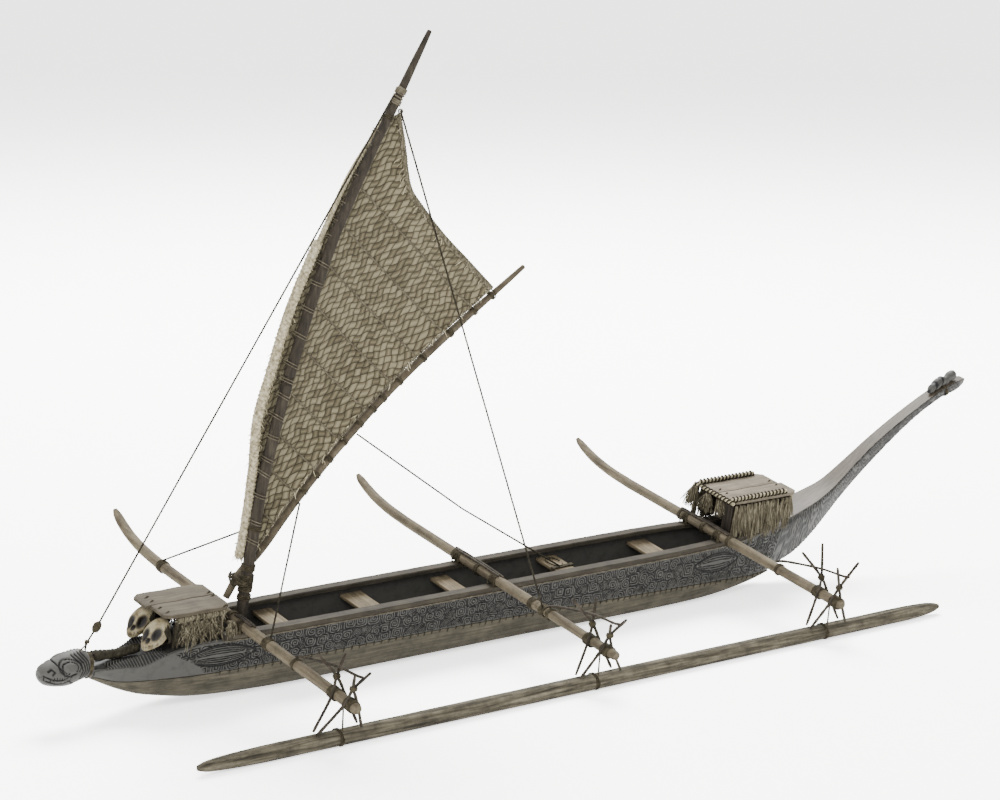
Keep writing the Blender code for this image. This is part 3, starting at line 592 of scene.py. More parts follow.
def strake(name, hand, seed):
    """The plank: carved outside, plain inside, and a clean band along both edges."""
    rng = Random(seed)
    xs = np.linspace(BOW_X, STERN_X, STRAKE_ALONG + 1)[:, None] * np.ones((1, STRAKE_UP + 1))
    height = 0.0265
    ups = np.ones((STRAKE_ALONG + 1, 1)) * np.linspace(0, height, STRAKE_UP + 1)[None, :]
    seeds = pattern_seeds(STERN_X - BOW_X, height, 0.0096, rng)
    eyes = ((0.094, 0.0150, 0.029, 0.0088), (0.566, 0.0150, 0.026, 0.0070))
    depth = cut_pattern(xs - BOW_X, ups, seeds, eyes)
    bow_edge = 0.070 + 0.012 * np.cos(ups / height * pi)
    depth *= np.clip((xs - BOW_X - bow_edge) / 0.0015, 0, 1)
    depth *= np.clip((ups - 0.0012) / 0.0008, 0, 1) * np.clip((height - 0.0012 - ups) / 0.0008, 0, 1)

    def spot(u, v):
        k, n = round(v * STRAKE_ALONG), round(u * STRAKE_UP)
        x = xs[k, n]
        low, high = hull(x, SEAM) + GAP, hull(x, SHEER)
        foot, top = hull(x, SEAM_BEAM), hull(x, SHEER_BEAM)
        round_off = 0.0005 * (1 - min(1, min(u, 1 - u) * 18)) ** 2
        swell = 0.0007 * sin(pi * u)
        y = foot + (top - foot) * u + swell - depth[k, n] * CUT_DEPTH - round_off
        return Vector((x, hand * y, low + (high - low) * u)), float(depth[k, n])

    bm = skin(STRAKE_UP, STRAKE_ALONG, spot)
    rim = [edge for edge in bm.edges if edge.is_boundary]
    new = bmesh.ops.extrude_edge_only(bm, edges=rim)["geom"]
    moved = [item for item in new if isinstance(item, bmesh.types.BMVert)]
    bmesh.ops.translate(bm, verts=moved, vec=(0, -hand * STRAKE_THICK, 0))
    inner = [item for item in new if isinstance(item, bmesh.types.BMEdge)]
    runs = [e for e in inner if abs(e.verts[0].co.x - e.verts[1].co.x) > 1e-5]
    bmesh.ops.bridge_loops(bm, edges=runs)
    bmesh.ops.holes_fill(bm, edges=[e for e in bm.edges if e.is_boundary], sides=0)
    bmesh.ops.recalc_face_normals(bm, faces=bm.faces[:])
    return finish_piece(name, bm, CARVED, replaced=(name.replace("carved_", ""),), sharp=60.0)


for hand, side in ((-1, "port"), (1, "starboard")):
    piece = strake("carved_strake_" + side, hand, 20 + hand)
    print(piece.name, "faces:", len(piece.data.polygons))

# %% [markdown]
# The cap rails are pale strips with softened edges. A ring of points goes round each section, so the rail is one
# closed skin.

# %% Cap rails


def rail(name, hand):
    corners = ((0, 0.08), (0.04, 0), (0.96, 0), (1, 0.08), (1, 0.82), (0.93, 1), (0.07, 1), (0, 0.82))

    def spot(u, v):
        x = RAIL[0] + (RAIL[1] - RAIL[0]) * v
        k = round(u * len(corners)) % len(corners)
        inward, up = corners[k]
        worn = 0.00018 * sin(x * 310 + hand) * sin(x * 97)
        y = hull(x, SHEER_BEAM) + 0.0004 - RAIL_WIDE * inward + worn
        return Vector((x, hand * y, hull(x, SHEER) + GAP + RAIL_DEEP * up))

    bm = skin(len(corners), 110, spot, closed=True, caps=True)
    return finish_piece(name + "_cap", bm, RAIL_WOOD, replaced=(name,), sharp=35.0)


for hand, side in ((-1, "port"), (1, "starboard")):
    rail("rail_" + side, hand)
print("cap rails made")

# %% [markdown]
# ## Seats
# Five adzed boards lie between the sides. Each starts from a cube, takes its size, and gets its edges bevelled and
# its top slightly hollowed by wear.

# %% Seats
THWARTS = ((-0.1901, 0.0163), (-0.1114, 0.0189), (-0.0274, 0.0153), (0.0759, 0.0187), (0.1686, 0.0187))
THWART_TOP, THWART_THICK = 0.0515, 0.0030


def board(low, high, cuts=(1, 1, 1), edge=0.0006):
    """A bevelled board between two corners."""
    bm = bmesh.new()
    bm.verts.layers.float.new("cut")
    bmesh.ops.create_cube(bm, size=1.0)
    bmesh.ops.scale(bm, verts=bm.verts[:], vec=[h - l for l, h in zip(low, high)])
    bmesh.ops.translate(bm, verts=bm.verts[:], vec=[(h + l) / 2 for l, h in zip(low, high)])
    bmesh.ops.bevel(bm, geom=bm.edges[:], offset=edge, offset_type="OFFSET", segments=2, profile=0.5,
                    affect="EDGES", material=-1)
    for axis, count in enumerate(cuts):
        for k in range(1, count):
            spot = [0.0, 0.0, 0.0]
            spot[axis] = low[axis] + (high[axis] - low[axis]) * k / count
            normal = [1.0 if a == axis else 0.0 for a in range(3)]
            bmesh.ops.bisect_plane(bm, geom=bm.verts[:] + bm.edges[:] + bm.faces[:], plane_co=spot, plane_no=normal)
    return bm


for number, (x, width) in enumerate(THWARTS, start=1):
    middle = x + width / 2
    share = (THWART_TOP - hull(middle, SEAM)) / (hull(middle, SHEER) - hull(middle, SEAM))
    reach = hull(middle, SEAM_BEAM) * (1 - share) + hull(middle, SHEER_BEAM) * share - STRAKE_THICK - 0.0009
    seat = board((x, -reach, THWART_TOP - THWART_THICK), (x + width, reach, THWART_TOP), (1, 10, 1))
    for vert in seat.verts:
        worn = 0.0004 * (1 - (vert.co.y / reach) ** 2)
        vert.co.z -= worn if vert.co.z > THWART_TOP - 0.0012 else 0.0
    finish_piece("seat_%d" % number, seat, SEAT_WOOD, replaced=("thwart_%d" % number,), sharp=30.0)
print("seats:", len(THWARTS))

# %% [markdown]
# ## Booms, float and the sticks between
# The booms are peeled poles, straight over the hull and curving up to a flattened tip on the far side. Real poles
# are never quite round, so a slow wave runs along each.

# %% Booms and float
BOOM_X = (-0.2264, 0.0, 0.2297)
BOOM_R = 0.0040
BOOM_Z = 0.0560 + GAP + RAIL_DEEP + GAP + BOOM_R
BOOM_PORT = (-0.1668, -0.0770, -0.1652)
TIP_LIFT = (1.30, 1.0, 1.0)
TIP_OUT = (0.0015, 0.0040, 0.0070)
# y, rise, half width, half thickness
BOOM_SWEEP = (
    (0.095, 0.0000, 0.0040, 0.0040),
    (0.118, 0.0012, 0.0041, 0.0038),
    (0.137, 0.0040, 0.0042, 0.0033),
    (0.150, 0.0078, 0.0041, 0.0027),
    (0.158, 0.0112, 0.0034, 0.0021),
    (0.1615, 0.0130, 0.0018, 0.0014),
)
FLOAT_R, FLOAT_SIDES, FLOAT_Y = 0.00605, 12, -0.1520
FLOAT_Z = (FLOAT_R * cos(pi / FLOAT_SIDES) - STANCE.translation.z - FLOAT_Y * sin(HEEL)) / cos(HEEL)
FLOAT_TAPER = (
    (-0.3422, 0.34), (-0.3350, 0.66), (-0.3150, 0.88), (-0.2850, 1.0),
    (0.3100, 1.0), (0.3380, 0.84), (0.3490, 0.58), (0.3540, 0.30),
)


def pole_skin(stations, sides=16, rough=0.02, seed=0, flat=0.0):
    """A closed pole through stations of (point, half width, half thickness)."""
    rng = Random(seed)
    waves = [(rng.uniform(60, 240), rng.uniform(0, 6.28), rng.randint(1, 3)) for _ in range(5)]
    rows = len(stations) - 1
    spots = [Vector(s[0]) for s in stations]

    def spot(u, v):
        k = round(v * rows)
        ahead = (spots[min(k + 1, rows)] - spots[max(k - 1, 0)]).normalized()
        side = ahead.cross(Vector((0, 0, 1)))
        side = side.normalized() if side.length > 0.2 else ahead.cross(Vector((0, 1, 0))).normalized()
        up = side.cross(ahead)
        turn = 2 * pi * u
        run = spots[k].x + spots[k].y + spots[k].z
        bumps = sum(sin(run * f + p + n * turn) for f, p, n in waves) / 5
        grow = 1 + rough * bumps
        return spots[k] + side * (stations[k][1] * grow * cos(turn)) + up * (stations[k][2] * grow * sin(turn))

    return skin(sides, rows, spot, closed=True, caps=True)


def boom_stations(x, port_end, lift, out):
    rows = []
    for k in range(13):
        share = k / 12
        y = port_end + (BOOM_SWEEP[0][0] - port_end) * share
        ease = 1 - 0.22 * max(0.0, 1 - (y - port_end) / 0.0035) ** 2
        rows.append((Vector((x, y, BOOM_Z)), BOOM_R * ease, BOOM_R * ease))
    rows.insert(1, (Vector((x, port_end + 0.0012, BOOM_Z)), BOOM_R * 0.93, BOOM_R * 0.93))
    rows.insert(2, (Vector((x, port_end + 0.003, BOOM_Z)), BOOM_R, BOOM_R))
    for k in range(1, 19):
        y = BOOM_SWEEP[0][0] + (BOOM_SWEEP[-1][0] - BOOM_SWEEP[0][0]) * k / 18
        rise, wide, thick = (curve_value(BOOM_SWEEP, y, c) for c in (1, 2, 3))
        rows.append((Vector((x, y + out * k / 18, BOOM_Z + rise * lift)), wide, thick))
    return rows


for number, ends in enumerate(zip(BOOM_X, BOOM_PORT, TIP_LIFT, TIP_OUT), start=1):
    boom_bm = pole_skin(boom_stations(*ends), seed=number)
    finish_piece("peeled_boom_%d" % number, boom_bm, POLE_WOOD, replaced=("boom_%d" % number,))

OUTER_POLE_R, OUTER_POLE_END, SPLICE_Y = 0.0037, -0.1695, -0.0770
outer_rows = []
for share, size in ((0.0, 0.8), (0.015, 0.93), (0.04, 1.0), (0.3, 1.0), (0.6, 0.99), (1.0, 1.0)):
    y = OUTER_POLE_END + (SPLICE_Y - GAP - OUTER_POLE_END) * share
    r = OUTER_POLE_R * size
    outer_rows.append((Vector((BOOM_X[1], y, BOOM_Z + BOOM_R - OUTER_POLE_R)), r, r))
finish_piece("spliced_outer_pole", pole_skin(outer_rows, seed=7), POLE_WOOD, replaced=("boom_2_outer",))

float_rows = []
for k in range(61):
    x = FLOAT_TAPER[0][0] + (FLOAT_TAPER[-1][0] - FLOAT_TAPER[0][0]) * smooth_steps(k / 60)
    r = 0.97 * FLOAT_R * curve_value(FLOAT_TAPER, x, 1)
    float_rows.append((Vector((x, FLOAT_Y, FLOAT_Z)), r, r))
finish_piece("float_log", pole_skin(float_rows, 18, 0.018, 11), FLOAT_WOOD, replaced=("float",))
print("poles made")

# %% [markdown]
# ## Bow
# The bow ends in a carved animal head on a short neck. Its rings follow the solid's stations; eye, mouth and brow
# are lines and bumps laid over them, measured in the side view and mirrored.

# %% Carved head
# x, centre height, half width, half height
HEAD = (
    (-0.3790, 0.0430, 0.0022, 0.0016),
    (-0.3784, 0.0431, 0.0048, 0.0038),
    (-0.3755, 0.0432, 0.0082, 0.0067),
    (-0.3680, 0.0437, 0.0106, 0.0095),
    (-0.3580, 0.0450, 0.0117, 0.0118),
    (-0.3480, 0.0468, 0.0105, 0.0113),
    (-0.3425, 0.0458, 0.0081, 0.0098),
    (-0.3384, 0.0430, 0.0072, 0.0078),
)
EYE = (-0.3592, 0.0500, 0.0054, 0.0034)
# Carved lines in the side view: (x, z) points
HEAD_LINES = (
    ((-0.3775, 0.0452), (-0.3725, 0.0430), (-0.3670, 0.0418), (-0.3620, 0.0432)),
    ((-0.3765, 0.0418), (-0.3700, 0.0392), (-0.3640, 0.0392), (-0.3595, 0.0415)),
    ((-0.3748, 0.0482), (-0.3722, 0.0496), (-0.3704, 0.0480), (-0.3722, 0.0464)),
    ((-0.3690, 0.0535), (-0.3662, 0.0500), (-0.3640, 0.0455), (-0.3590, 0.0440)),
    ((-0.3560, 0.0565), (-0.3510, 0.0520), (-0.3495, 0.0465), (-0.3520, 0.0400)),
    ((-0.3535, 0.0570), (-0.3488, 0.0520), (-0.3473, 0.0465), (-0.3498, 0.0395)),
    ((-0.3510, 0.0575), (-0.3466, 0.0520), (-0.3451, 0.0465), (-0.3476, 0.0390)),
    ((-0.3487, 0.0575), (-0.3444, 0.0520), (-0.3429, 0.0465), (-0.3454, 0.0390)),
    ((-0.3600, 0.0405), (-0.3560, 0.0368), (-0.3520, 0.0362)),
)


def near_line(x, z, line):
    """Distance in the side view from a point to a broken line."""
    best = 1.0
    for (ax, az), (bx, bz) in zip(line, line[1:]):
        along = ((x - ax) * (bx - ax) + (z - az) * (bz - az)) / ((bx - ax) ** 2 + (bz - az) ** 2)
        along = min(max(along, 0.0), 1.0)
        best = min(best, hypot(x - ax - along * (bx - ax), z - az - along * (bz - az)))
    return best


def head_spot(u, v):
    x = HEAD[0][0] + (HEAD[-1][0] - HEAD[0][0]) * v ** 1.25
    middle, wide, high = (curve_value(HEAD, x, c) for c in (1, 2, 3))
    turn = 2 * pi * u
    spot = Vector((x, wide * cos(turn), middle + high * sin(turn)))
    out = Vector((0.0, cos(turn), sin(turn) * wide / high)).normalized()
    ring = hypot((x - EYE[0]) / EYE[2], (spot.z - EYE[1]) / EYE[3])
    side = min(1.0, abs(cos(turn)) * 2.2)
    bump = 0.0011 * max(0.0, 1 - ring ** 2) ** 0.5 * side if ring < 1 else 0.0
    cut = 0.0
    if 1.0 <= ring < 1.75:
        cut = max(0.0, cos(2 * pi * (ring - 1.06) / 0.42)) ** 2 * side
    for line in HEAD_LINES:
        cut = max(cut, min(1.0, max(0.0, 1.25 - near_line(x, spot.z, line) / 0.00055)))
    teeth = 0.0418 < spot.z < 0.0444 and x < -0.3640
    if teeth:
        cut = max(cut, 0.8 * max(0.0, cos(2 * pi * (x * 0.8 + spot.y) / 0.0011)))
    spot += out * (bump - 0.0009 * cut)
    return spot, cut


finish_piece("carved_head", skin(72, 110, head_spot, closed=True, caps=True), CARVED, replaced=("figurehead",))
print("head carved")

# %% [markdown]
# Behind the neck the deck is a dark block with a rounded top. Two ribbed crests run over it, one on each side of a
# twisted rope, and pass under the skulls.

# %% Bow deck and crests


DECK_RISE = ((-0.3380, 0.0015), (-0.3200, 0.0022), (-0.3020, 0.0030), (-0.2880, 0.0012), (-0.2820, 0.0), (-0.2620, 0.0))
# x, then crest height to port and to starboard
RIDGE = (
    (-0.3290, 0.0445, 0.0455), (-0.3200, 0.0470, 0.0470), (-0.3120, 0.0485, 0.0488),
    (-0.3040, 0.0500, 0.0515), (-0.2985, 0.0521, 0.0543), (-0.2940, 0.0521, 0.0543), (-0.2900, 0.0520, 0.0535),
    (-0.2850, 0.0512, 0.0515),
)
RIDGE_SHARE = 0.72
RIB_PITCH = 0.0021


def deck_half(x):
    return hull(x, SHEER_BEAM) - STRAKE_THICK - 3 * GAP


def deck_spot(u, v):
    x = DECK_RISE[0][0] + (DECK_RISE[-1][0] - DECK_RISE[0][0]) * v
    low, high = hull(x, SEAM) + GAP, hull(x, SHEER)
    foot = hull(x, SEAM_BEAM) - STRAKE_THICK - 3 * GAP
    top = deck_half(x)
    k = round(u * 16) % 16
    if k <= 8:
        y = top * (k / 4 - 1)
        crown = curve_value(DECK_RISE, x, 1) * min(1.0, (1 - abs(k / 4 - 1)) * 1.8)
        return Vector((x, y, high + crown)), 0.35
    return Vector((x, foot * (1 - (k - 8) / 4), low)), 0.2


finish_piece("bow_deck_block", skin(16, 60, deck_spot, closed=True, caps=True), CARVED, replaced=("bow_deck",))


def crest(side, hand, column):
    """A ribbed ridge: its outer face looks past the hull, its inner one down into the rope's channel."""
    def spot(u, v):
        x = RIDGE[0][0] + (RIDGE[-1][0] - RIDGE[0][0]) * v
        low = hull(x, SHEER) + GAP
        top = curve_value(RIDGE, x, column)
        out, peak, level = hull(x, SHEER_BEAM), hull(x, SHEER_BEAM) * RIDGE_SHARE, deck_half(x) * 0.45
        inner = low + curve_value(DECK_RISE, x, 1)
        section = ((out, low), (out - 0.0002, low + 0.0012), (peak + 0.0006, top - 0.0004), (peak - 0.0006, top - 0.0003),
                   (level + 0.0010, inner + 0.0012), (level, inner), (deck_half(x), low), (out, low))
        place = u * (len(section) - 1)
        j = min(int(place), len(section) - 2)
        y, z = (section[j][c] + (section[j + 1][c] - section[j][c]) * (place - j) for c in (0, 1))
        ribs = 0.5 - 0.5 * cos(2 * pi * (x - 0.5 * abs(y - peak)) / RIB_PITCH)
        show = max(0.0, min(1.0, place / 0.6, (4.8 - place) / 0.6))
        return Vector((x, hand * y, z - 0.0009 * ribs * show * min(1.0, (z - low) / 0.001))), ribs * show
    return finish_piece("ribbed_crest_" + side, skin(28, 200, spot, closed=True, caps=True), CARVED,
                        replaced=("bow_comb_" + side,))


crest("port", -1, 1)
crest("starboard", 1, 2)
neck_rope = laid(smooth_route(((-0.3370, 0, 0.0515), (-0.3320, 0, 0.0512), (-0.3220, 0.0002, 0.0497), (-0.3100, -0.0002, 0.0500),
                               (-0.3000, 0.0, 0.0512)), 8), 0.0036, 0.0105, 3)
cords("twisted_deck_rope", neck_rope, DARK_CORD)
print("bow deck, crests and rope made")

# %% [markdown]
# Two small carved bone skulls look forward from under the roof. Each starts from an icosphere; sockets, nose and teeth
# are dents, and the bone in them is darkened with painted shade.

# %% Skulls
# Both sit 1.1 mm lower than their solids, down on the crests
SKULLS = (("port", (-0.2926, -0.0095, 0.0637)), ("starboard", (-0.2935, 0.0095, 0.0657)))
SKULL_HALF = Vector((0.0088, 0.0075, 0.0138))
SKULL_LEAN, FACE_TURN = Matrix.Rotation(radians(38), 4, "Y"), Matrix.Rotation(radians(-36), 4, "Z")
# Dents: place on the unit face, radius, depth, darkness of the painted shade; the face looks along -X, the crown is up
DENTS = (
    ((-0.78, 0.50, 0.32), 0.52, 0.40, 1.0), ((-0.78, -0.50, 0.32), 0.52, 0.40, 1.0),
    ((-1.0, 0.0, 0.02), 0.27, 0.24, 1.0),
    ((-0.45, 0.95, -0.10), 0.30, 0.14, 0.3), ((-0.45, -0.95, -0.10), 0.30, 0.14, 0.3),
)


def make_skull(side, centre):
    bm = bmesh.new()
    cut = bm.verts.layers.float.new("cut")
    bmesh.ops.create_icosphere(bm, subdivisions=5, radius=1.0)
    for vert in bm.verts:
        way = vert.co.copy()
        jaw = max(0.0, -way.z - 0.15)
        shape = Vector((way.x * (1 - 0.12 * jaw), way.y * (1 - 0.42 * jaw), way.z))
        if way.x > 0 and way.z < 0:
            shape.x *= 1 - 0.45 * min(1.0, jaw)
        # shade is painted shade: the bone is darkened in each dent, between the teeth and along the line between the
        # jaws.
        shade = 0.0
        face = FACE_TURN @ (SKULL_LEAN @ way)
        for place, radius, depth, dark in DENTS:
            gone = (face - Vector(place).normalized()).length / radius
            if gone < 1.0:
                shape -= way * depth * smooth_steps(1 - gone)
                shade = max(shade, dark * min(1.0, 3.2 * (1 - gone)))
        teeth = face.x < -0.30 and -0.62 < face.z < -0.30
        if teeth:
            gaps = max(0.0, cos(face.y * 26)) ** 3
            shape -= way * 0.05 * gaps
            shade = max(shade, 0.9 * gaps, 0.9 * max(0.0, 1 - abs(face.z + 0.46) / 0.035))
        vert.co = Vector([shape[a] * SKULL_HALF[a] for a in range(3)])
        vert[cut] = shade
    bmesh.ops.transform(bm, matrix=Matrix.Translation(centre) @ SKULL_LEAN, verts=bm.verts[:])
    return finish_piece("bone_skull_" + side, bm, BONE, replaced=("skull_" + side,))


for side, centre in SKULLS:
    make_skull(side, centre)
    x, y, z = centre
    ties = [winding((x + 0.0062 + 0.0010 * n, y, z + 0.0010), (1, 0.0, 0.5 - 0.25 * n), 0.0079, 2.2, 0.0022, 0.0005,
                    oval=1.15) for n in range(2)]
    cords("skull_tie_" + side, ties, DARK_CORD)
print("skulls made")

# %% [markdown]
# ## The two shelters
# Each shelter has a roof of two split boards tied down with cord, over walls of dried grass. The stems are hundreds
# of short routes, so they are given only four sides each.

# %% Roof boards
ROOF_THICK = 0.0026
# name, roof underside, thatch from and to, finish, then each board: fore end, aft end, half width
HOUSES = (
    ("bow_house", 0.0798, -0.2800, -0.2425, ROOF_WOOD, ((-0.2925, -0.2385, 0.0215), (-0.2965, -0.2385, 0.0207))),
    ("stern_house", 0.0896, 0.2420, 0.3020, PALE_ROOF, ((0.2380, 0.3090, 0.0220), (0.2380, 0.3060, 0.0220))),
)


def roof_board(name, fore, aft, inner, outer, under, finish, replaced):
    """A board whose outer corners are cut round, with a slight wave along its length."""
    bm = board((fore, min(inner, outer), under), (aft, max(inner, outer), under + ROOF_THICK), (12, 4, 1), 0.0005)
    corner = 0.006
    hand = 1 if outer > 0 else -1
    for vert in bm.verts:
        for end in (fore, aft):
            into = abs(vert.co.x - end)
            over = corner - into
            if over > 0:
                limit = abs(outer) - corner + (corner ** 2 - over ** 2) ** 0.5
                if abs(vert.co.y) > limit:
                    vert.co.y = hand * limit
        vert.co.z += 0.0002 * sin(vert.co.x * 260) * (1 if vert.co.z > under + ROOF_THICK / 2 else 0.3)
    finish_piece(name, bm, finish, replaced=replaced, sharp=30.0)


for name, under, grass_fore, grass_aft, finish, boards in HOUSES:
    for side, hand, (fore, aft, half) in (("port", -1, boards[0]), ("starboard", 1, boards[1])):
        roof_board("%s_board_%s" % (name, side), fore, aft, hand * GAP, hand * half, under, finish,
                   ("%s_roof_%s" % (name, side),))
print("roof boards:", 2 * len(HOUSES))

# %% Grass walls
THATCH_THICK = 0.0042


def straw_stem(rng, top, down, lean, wave, thick):
    """One stem from its tied end, drooping and curling a little."""
    points = []
    for k in range(5):
        share = k / 4
        sway = Vector((wave[0] * sin(share * 2.6), wave[1] * share * share, 0))
        points.append((Vector(top) + Vector(lean) * share + Vector((0, 0, -down * share)) + sway,
                       thick * (1 - 0.55 * share)))
    return points


def house_wall(fore, aft, half, under, floor_at, hand, seed, stems, messy):
    rng = Random(seed)
    routes = []
    wall_y = half - 0.0008
    for k in range(stems):
        x = fore + (aft - fore) * rng.random()
        out = rng.random()
        low = floor_at(x) + GAP + 0.0006
        foot_y = min(half - 0.001, hull(x, SHEER_BEAM) - 0.0005)
        y = hand * (wall_y - THATCH_THICK * (1 - out) * 0.9 - 0.0006)
        top = under - GAP - 0.0008
        shift = hand * (foot_y - wall_y) * 1.0
        slant = rng.uniform(-messy, messy)
        slant = min(max(x + slant, fore), aft) - x
        down = (top - low) * (rng.uniform(0.8, 1.0) if out < 0.7 else rng.uniform(0.45, 0.95))
        routes.append(straw_stem(rng, (x, y, top), down, (slant, shift, 0),
                                 (rng.uniform(-0.002, 0.002), hand * 0.0006 * out), rng.uniform(0.00028, 0.0006)))
    return routes


for (name, under, fore, aft, finish, boards), floor_at, messy, stems in (
        (HOUSES[0], lambda x: hull(x, SHEER), 0.010, 420),
        (HOUSES[1], lambda x: hull(x, SHEER) + GAP + RAIL_DEEP, 0.004, 900)):
    for side, hand, board_size in (("port", -1, boards[0]), ("starboard", 1, boards[1])):
        walls = house_wall(fore, aft, board_size[2], under, floor_at, hand, 40 + hand, stems, messy)
        # The walls take the darker thatch finish, painted shade under the roofs.
        cords("%s_grass_%s" % (name, side), walls, SHADED_STRAW, replaced=("%s_thatch_%s" % (name, side),), sides=0)
print("grass walls made")

# %% [markdown]
# ## Stern
# The sternpost is broad and dished where it meets the hull, then narrows to a bar that sweeps up to a blunt tip. Its
# top is bare wood; its sides are stained and carved.

# %% Sternpost
# bottom x, bottom z, top x, top z, half width at the top, half width at the bottom
STERNPOST = (
    (0.3030, 0.0140, 0.3030, 0.0628, 0.0155, 0.0040),
    (0.3315, 0.0250, 0.3250, 0.0690, 0.0140, 0.0040),
    (0.3467, 0.0352, 0.3380, 0.0730, 0.0128, 0.0040),
    (0.3603, 0.0487, 0.3480, 0.0765, 0.0115, 0.0040),
    (0.3787, 0.0693, 0.3640, 0.0840, 0.0090, 0.0040),
    (0.3977, 0.0880, 0.3850, 0.0995, 0.0070, 0.0040),
    (0.4172, 0.1051, 0.4055, 0.1148, 0.0060, 0.0040),
    (0.4372, 0.1213, 0.4270, 0.1285, 0.0057, 0.0040),
    (0.4577, 0.1355, 0.4510, 0.1420, 0.0056, 0.0040),
    (0.4790, 0.1462, 0.4740, 0.1533, 0.0054, 0.0038),
    (0.4965, 0.1512, 0.4940, 0.1605, 0.0052, 0.0036),
    (0.5045, 0.1558, 0.5050, 0.1615, 0.0036, 0.0026),
)
POST_TABLE = tuple((k, *row) for k, row in enumerate(STERNPOST))
POST_ALONG, POST_ROUND = 300, 56
post_steps = np.linspace(0, len(STERNPOST) - 1, POST_ALONG + 1)
post_run = [0.0]
for a, b in zip(post_steps, post_steps[1:]):
    ax, az, bx, bz = (curve_value(POST_TABLE, t, c) for t in (a, b) for c in (3, 4))
    post_run.append(post_run[-1] + hypot(bx - ax, bz - az))
POST_SIDE = 0.024
post_x = np.array(post_run)[:, None] * np.ones((1, POST_ROUND + 1))
post_y = np.ones((POST_ALONG + 1, 1)) * np.linspace(0, 2 * POST_SIDE, POST_ROUND + 1)[None, :]
post_cut = cut_pattern(post_x, post_y, pattern_seeds(post_run[-1], 2 * POST_SIDE, 0.0105, Random(5)))


def post_spot(u, v):
    k, n = round(v * POST_ALONG), round(u * POST_ROUND)
    low_x, low_z, top_x, top_z, top_half, low_half = (curve_value(POST_TABLE, post_steps[k], c) for c in range(1, 7))
    low, top = Vector((low_x, 0, low_z)), Vector((top_x, 0, top_z))
    section = ((0.0, 0.0), (0.0, 0.6 * low_half), (0.10, low_half), (0.55, (low_half + 2 * top_half) / 3),
               (0.88, top_half), (1.0, top_half * 0.94), (1.0, top_half * 0.5), (1.0, 0.0))
    around = u * 2 if u <= 0.5 else 2 - 2 * u
    hand = 1 if u <= 0.5 else -1
    place = around * (len(section) - 1)
    j = min(int(place), len(section) - 2)
    share = section[j][0] + (section[j + 1][0] - section[j][0]) * (place - j)
    half = section[j][1] + (section[j + 1][1] - section[j][1]) * (place - j)
    on_top = max(0.0, min(1.0, (place - 4.75) * 4))
    fade = min(1.0, max(0.0, (POST_ALONG - k) / 12.0 - 1.2))
    cut = float(post_cut[k, n]) * (1 - on_top) * fade
    middle = 1 - half / max(top_half, 1e-6)
    dish = 0.0012 * on_top * smooth_steps(max(0.0, min(1.0, middle))) * max(0.0, 1 - v * 2.2)
    spot = low.lerp(top, share) + Vector((0, hand * half, 0))
    spot += Vector((0.0, -hand * 0.0005 * cut, -dish))
    return spot, cut, on_top


post_bm = bmesh.new()
cut_layer = post_bm.verts.layers.float.new("cut")
bare_layer = post_bm.verts.layers.float.new("bare")
bmesh.ops.create_grid(post_bm, x_segments=POST_ROUND, y_segments=POST_ALONG, size=0.5)
for vert in post_bm.verts:
    vert.co, vert[cut_layer], vert[bare_layer] = post_spot(vert.co.x + 0.5, vert.co.y + 0.5)
bmesh.ops.remove_doubles(post_bm, verts=post_bm.verts[:], dist=1e-6)
bmesh.ops.holes_fill(post_bm, edges=post_bm.edges[:], sides=0)
bmesh.ops.recalc_face_normals(post_bm, faces=post_bm.faces[:])
finish_piece("carved_sternpost", post_bm, CARVED_POST, replaced=("sternpost",), sharp=50.0)

FIGURE = (
    (0.4655, 0.1522, 0.0030, 0.0022),
    (0.4715, 0.1566, 0.0042, 0.0038),
    (0.4785, 0.1605, 0.0044, 0.0046),
    (0.4840, 0.1610, 0.0032, 0.0034),
    (0.4880, 0.1642, 0.0040, 0.0038),
    (0.4930, 0.1650, 0.0042, 0.0041),
    (0.4968, 0.1647, 0.0024, 0.0023),
)


def figure_spot(u, v):
    x = FIGURE[0][0] + (FIGURE[-1][0] - FIGURE[0][0]) * v
    middle, wide, high = (curve_value(FIGURE, x, c) for c in (1, 2, 3))
    turn = 2 * pi * u
    limbs = max(0.0, cos(2 * pi * (x - 0.4655) / 0.0062 + 1.4 * sin(turn) * cos(turn))) ** 2
    limbs *= max(0.0, min(1.0, (0.4835 - x) / 0.002))
    end = min(1.0, v * 9, (1 - v) * 9) ** 0.5
    grow = end * (1 - 0.16 * limbs)
    return Vector((x, wide * grow * cos(turn), middle + high * grow * sin(turn))), limbs * 0.9 + 0.15


finish_piece("crouching_figure", skin(32, 60, figure_spot, closed=True, caps=True), CARVED,
             replaced=("stern_figure",))
print("sternpost run %.0f mm" % (post_run[-1] * 1000))

# %% [markdown]
# ## Rig
# Mast, spar and mat turn together. The mast is a straight-grained sapling, slightly bent; the spar is lighter. Both
# are skins through the solid's stations.

# %% Mast and spar
MAST = (
    (-0.2160, 0.0111, 0.0044), (-0.2140, 0.0705, 0.0043), (-0.2112, 0.1215, 0.0043), (-0.2062, 0.1730, 0.0042),
    (-0.1920, 0.2529, 0.0041), (-0.1698, 0.3396, 0.0038), (-0.1433, 0.4069, 0.0034), (-0.1284, 0.4397, 0.0032),
    (-0.1170, 0.4655, 0.0027), (-0.1057, 0.4906, 0.0017),
)
SPRIT_Y = 0.0078
SPRIT = (
    (-0.2240, 0.0735, 0.0026), (-0.2150, 0.0900, 0.0030), (-0.1985, 0.1063, 0.0031), (-0.1710, 0.1427, 0.0032),
    (-0.1368, 0.1812, 0.0032), (-0.0930, 0.2232, 0.0031), (-0.0352, 0.2690, 0.0028), (-0.0090, 0.2880, 0.0023),
    (0.0130, 0.3042, 0.0017),
)
SPAR_STEPS = 70


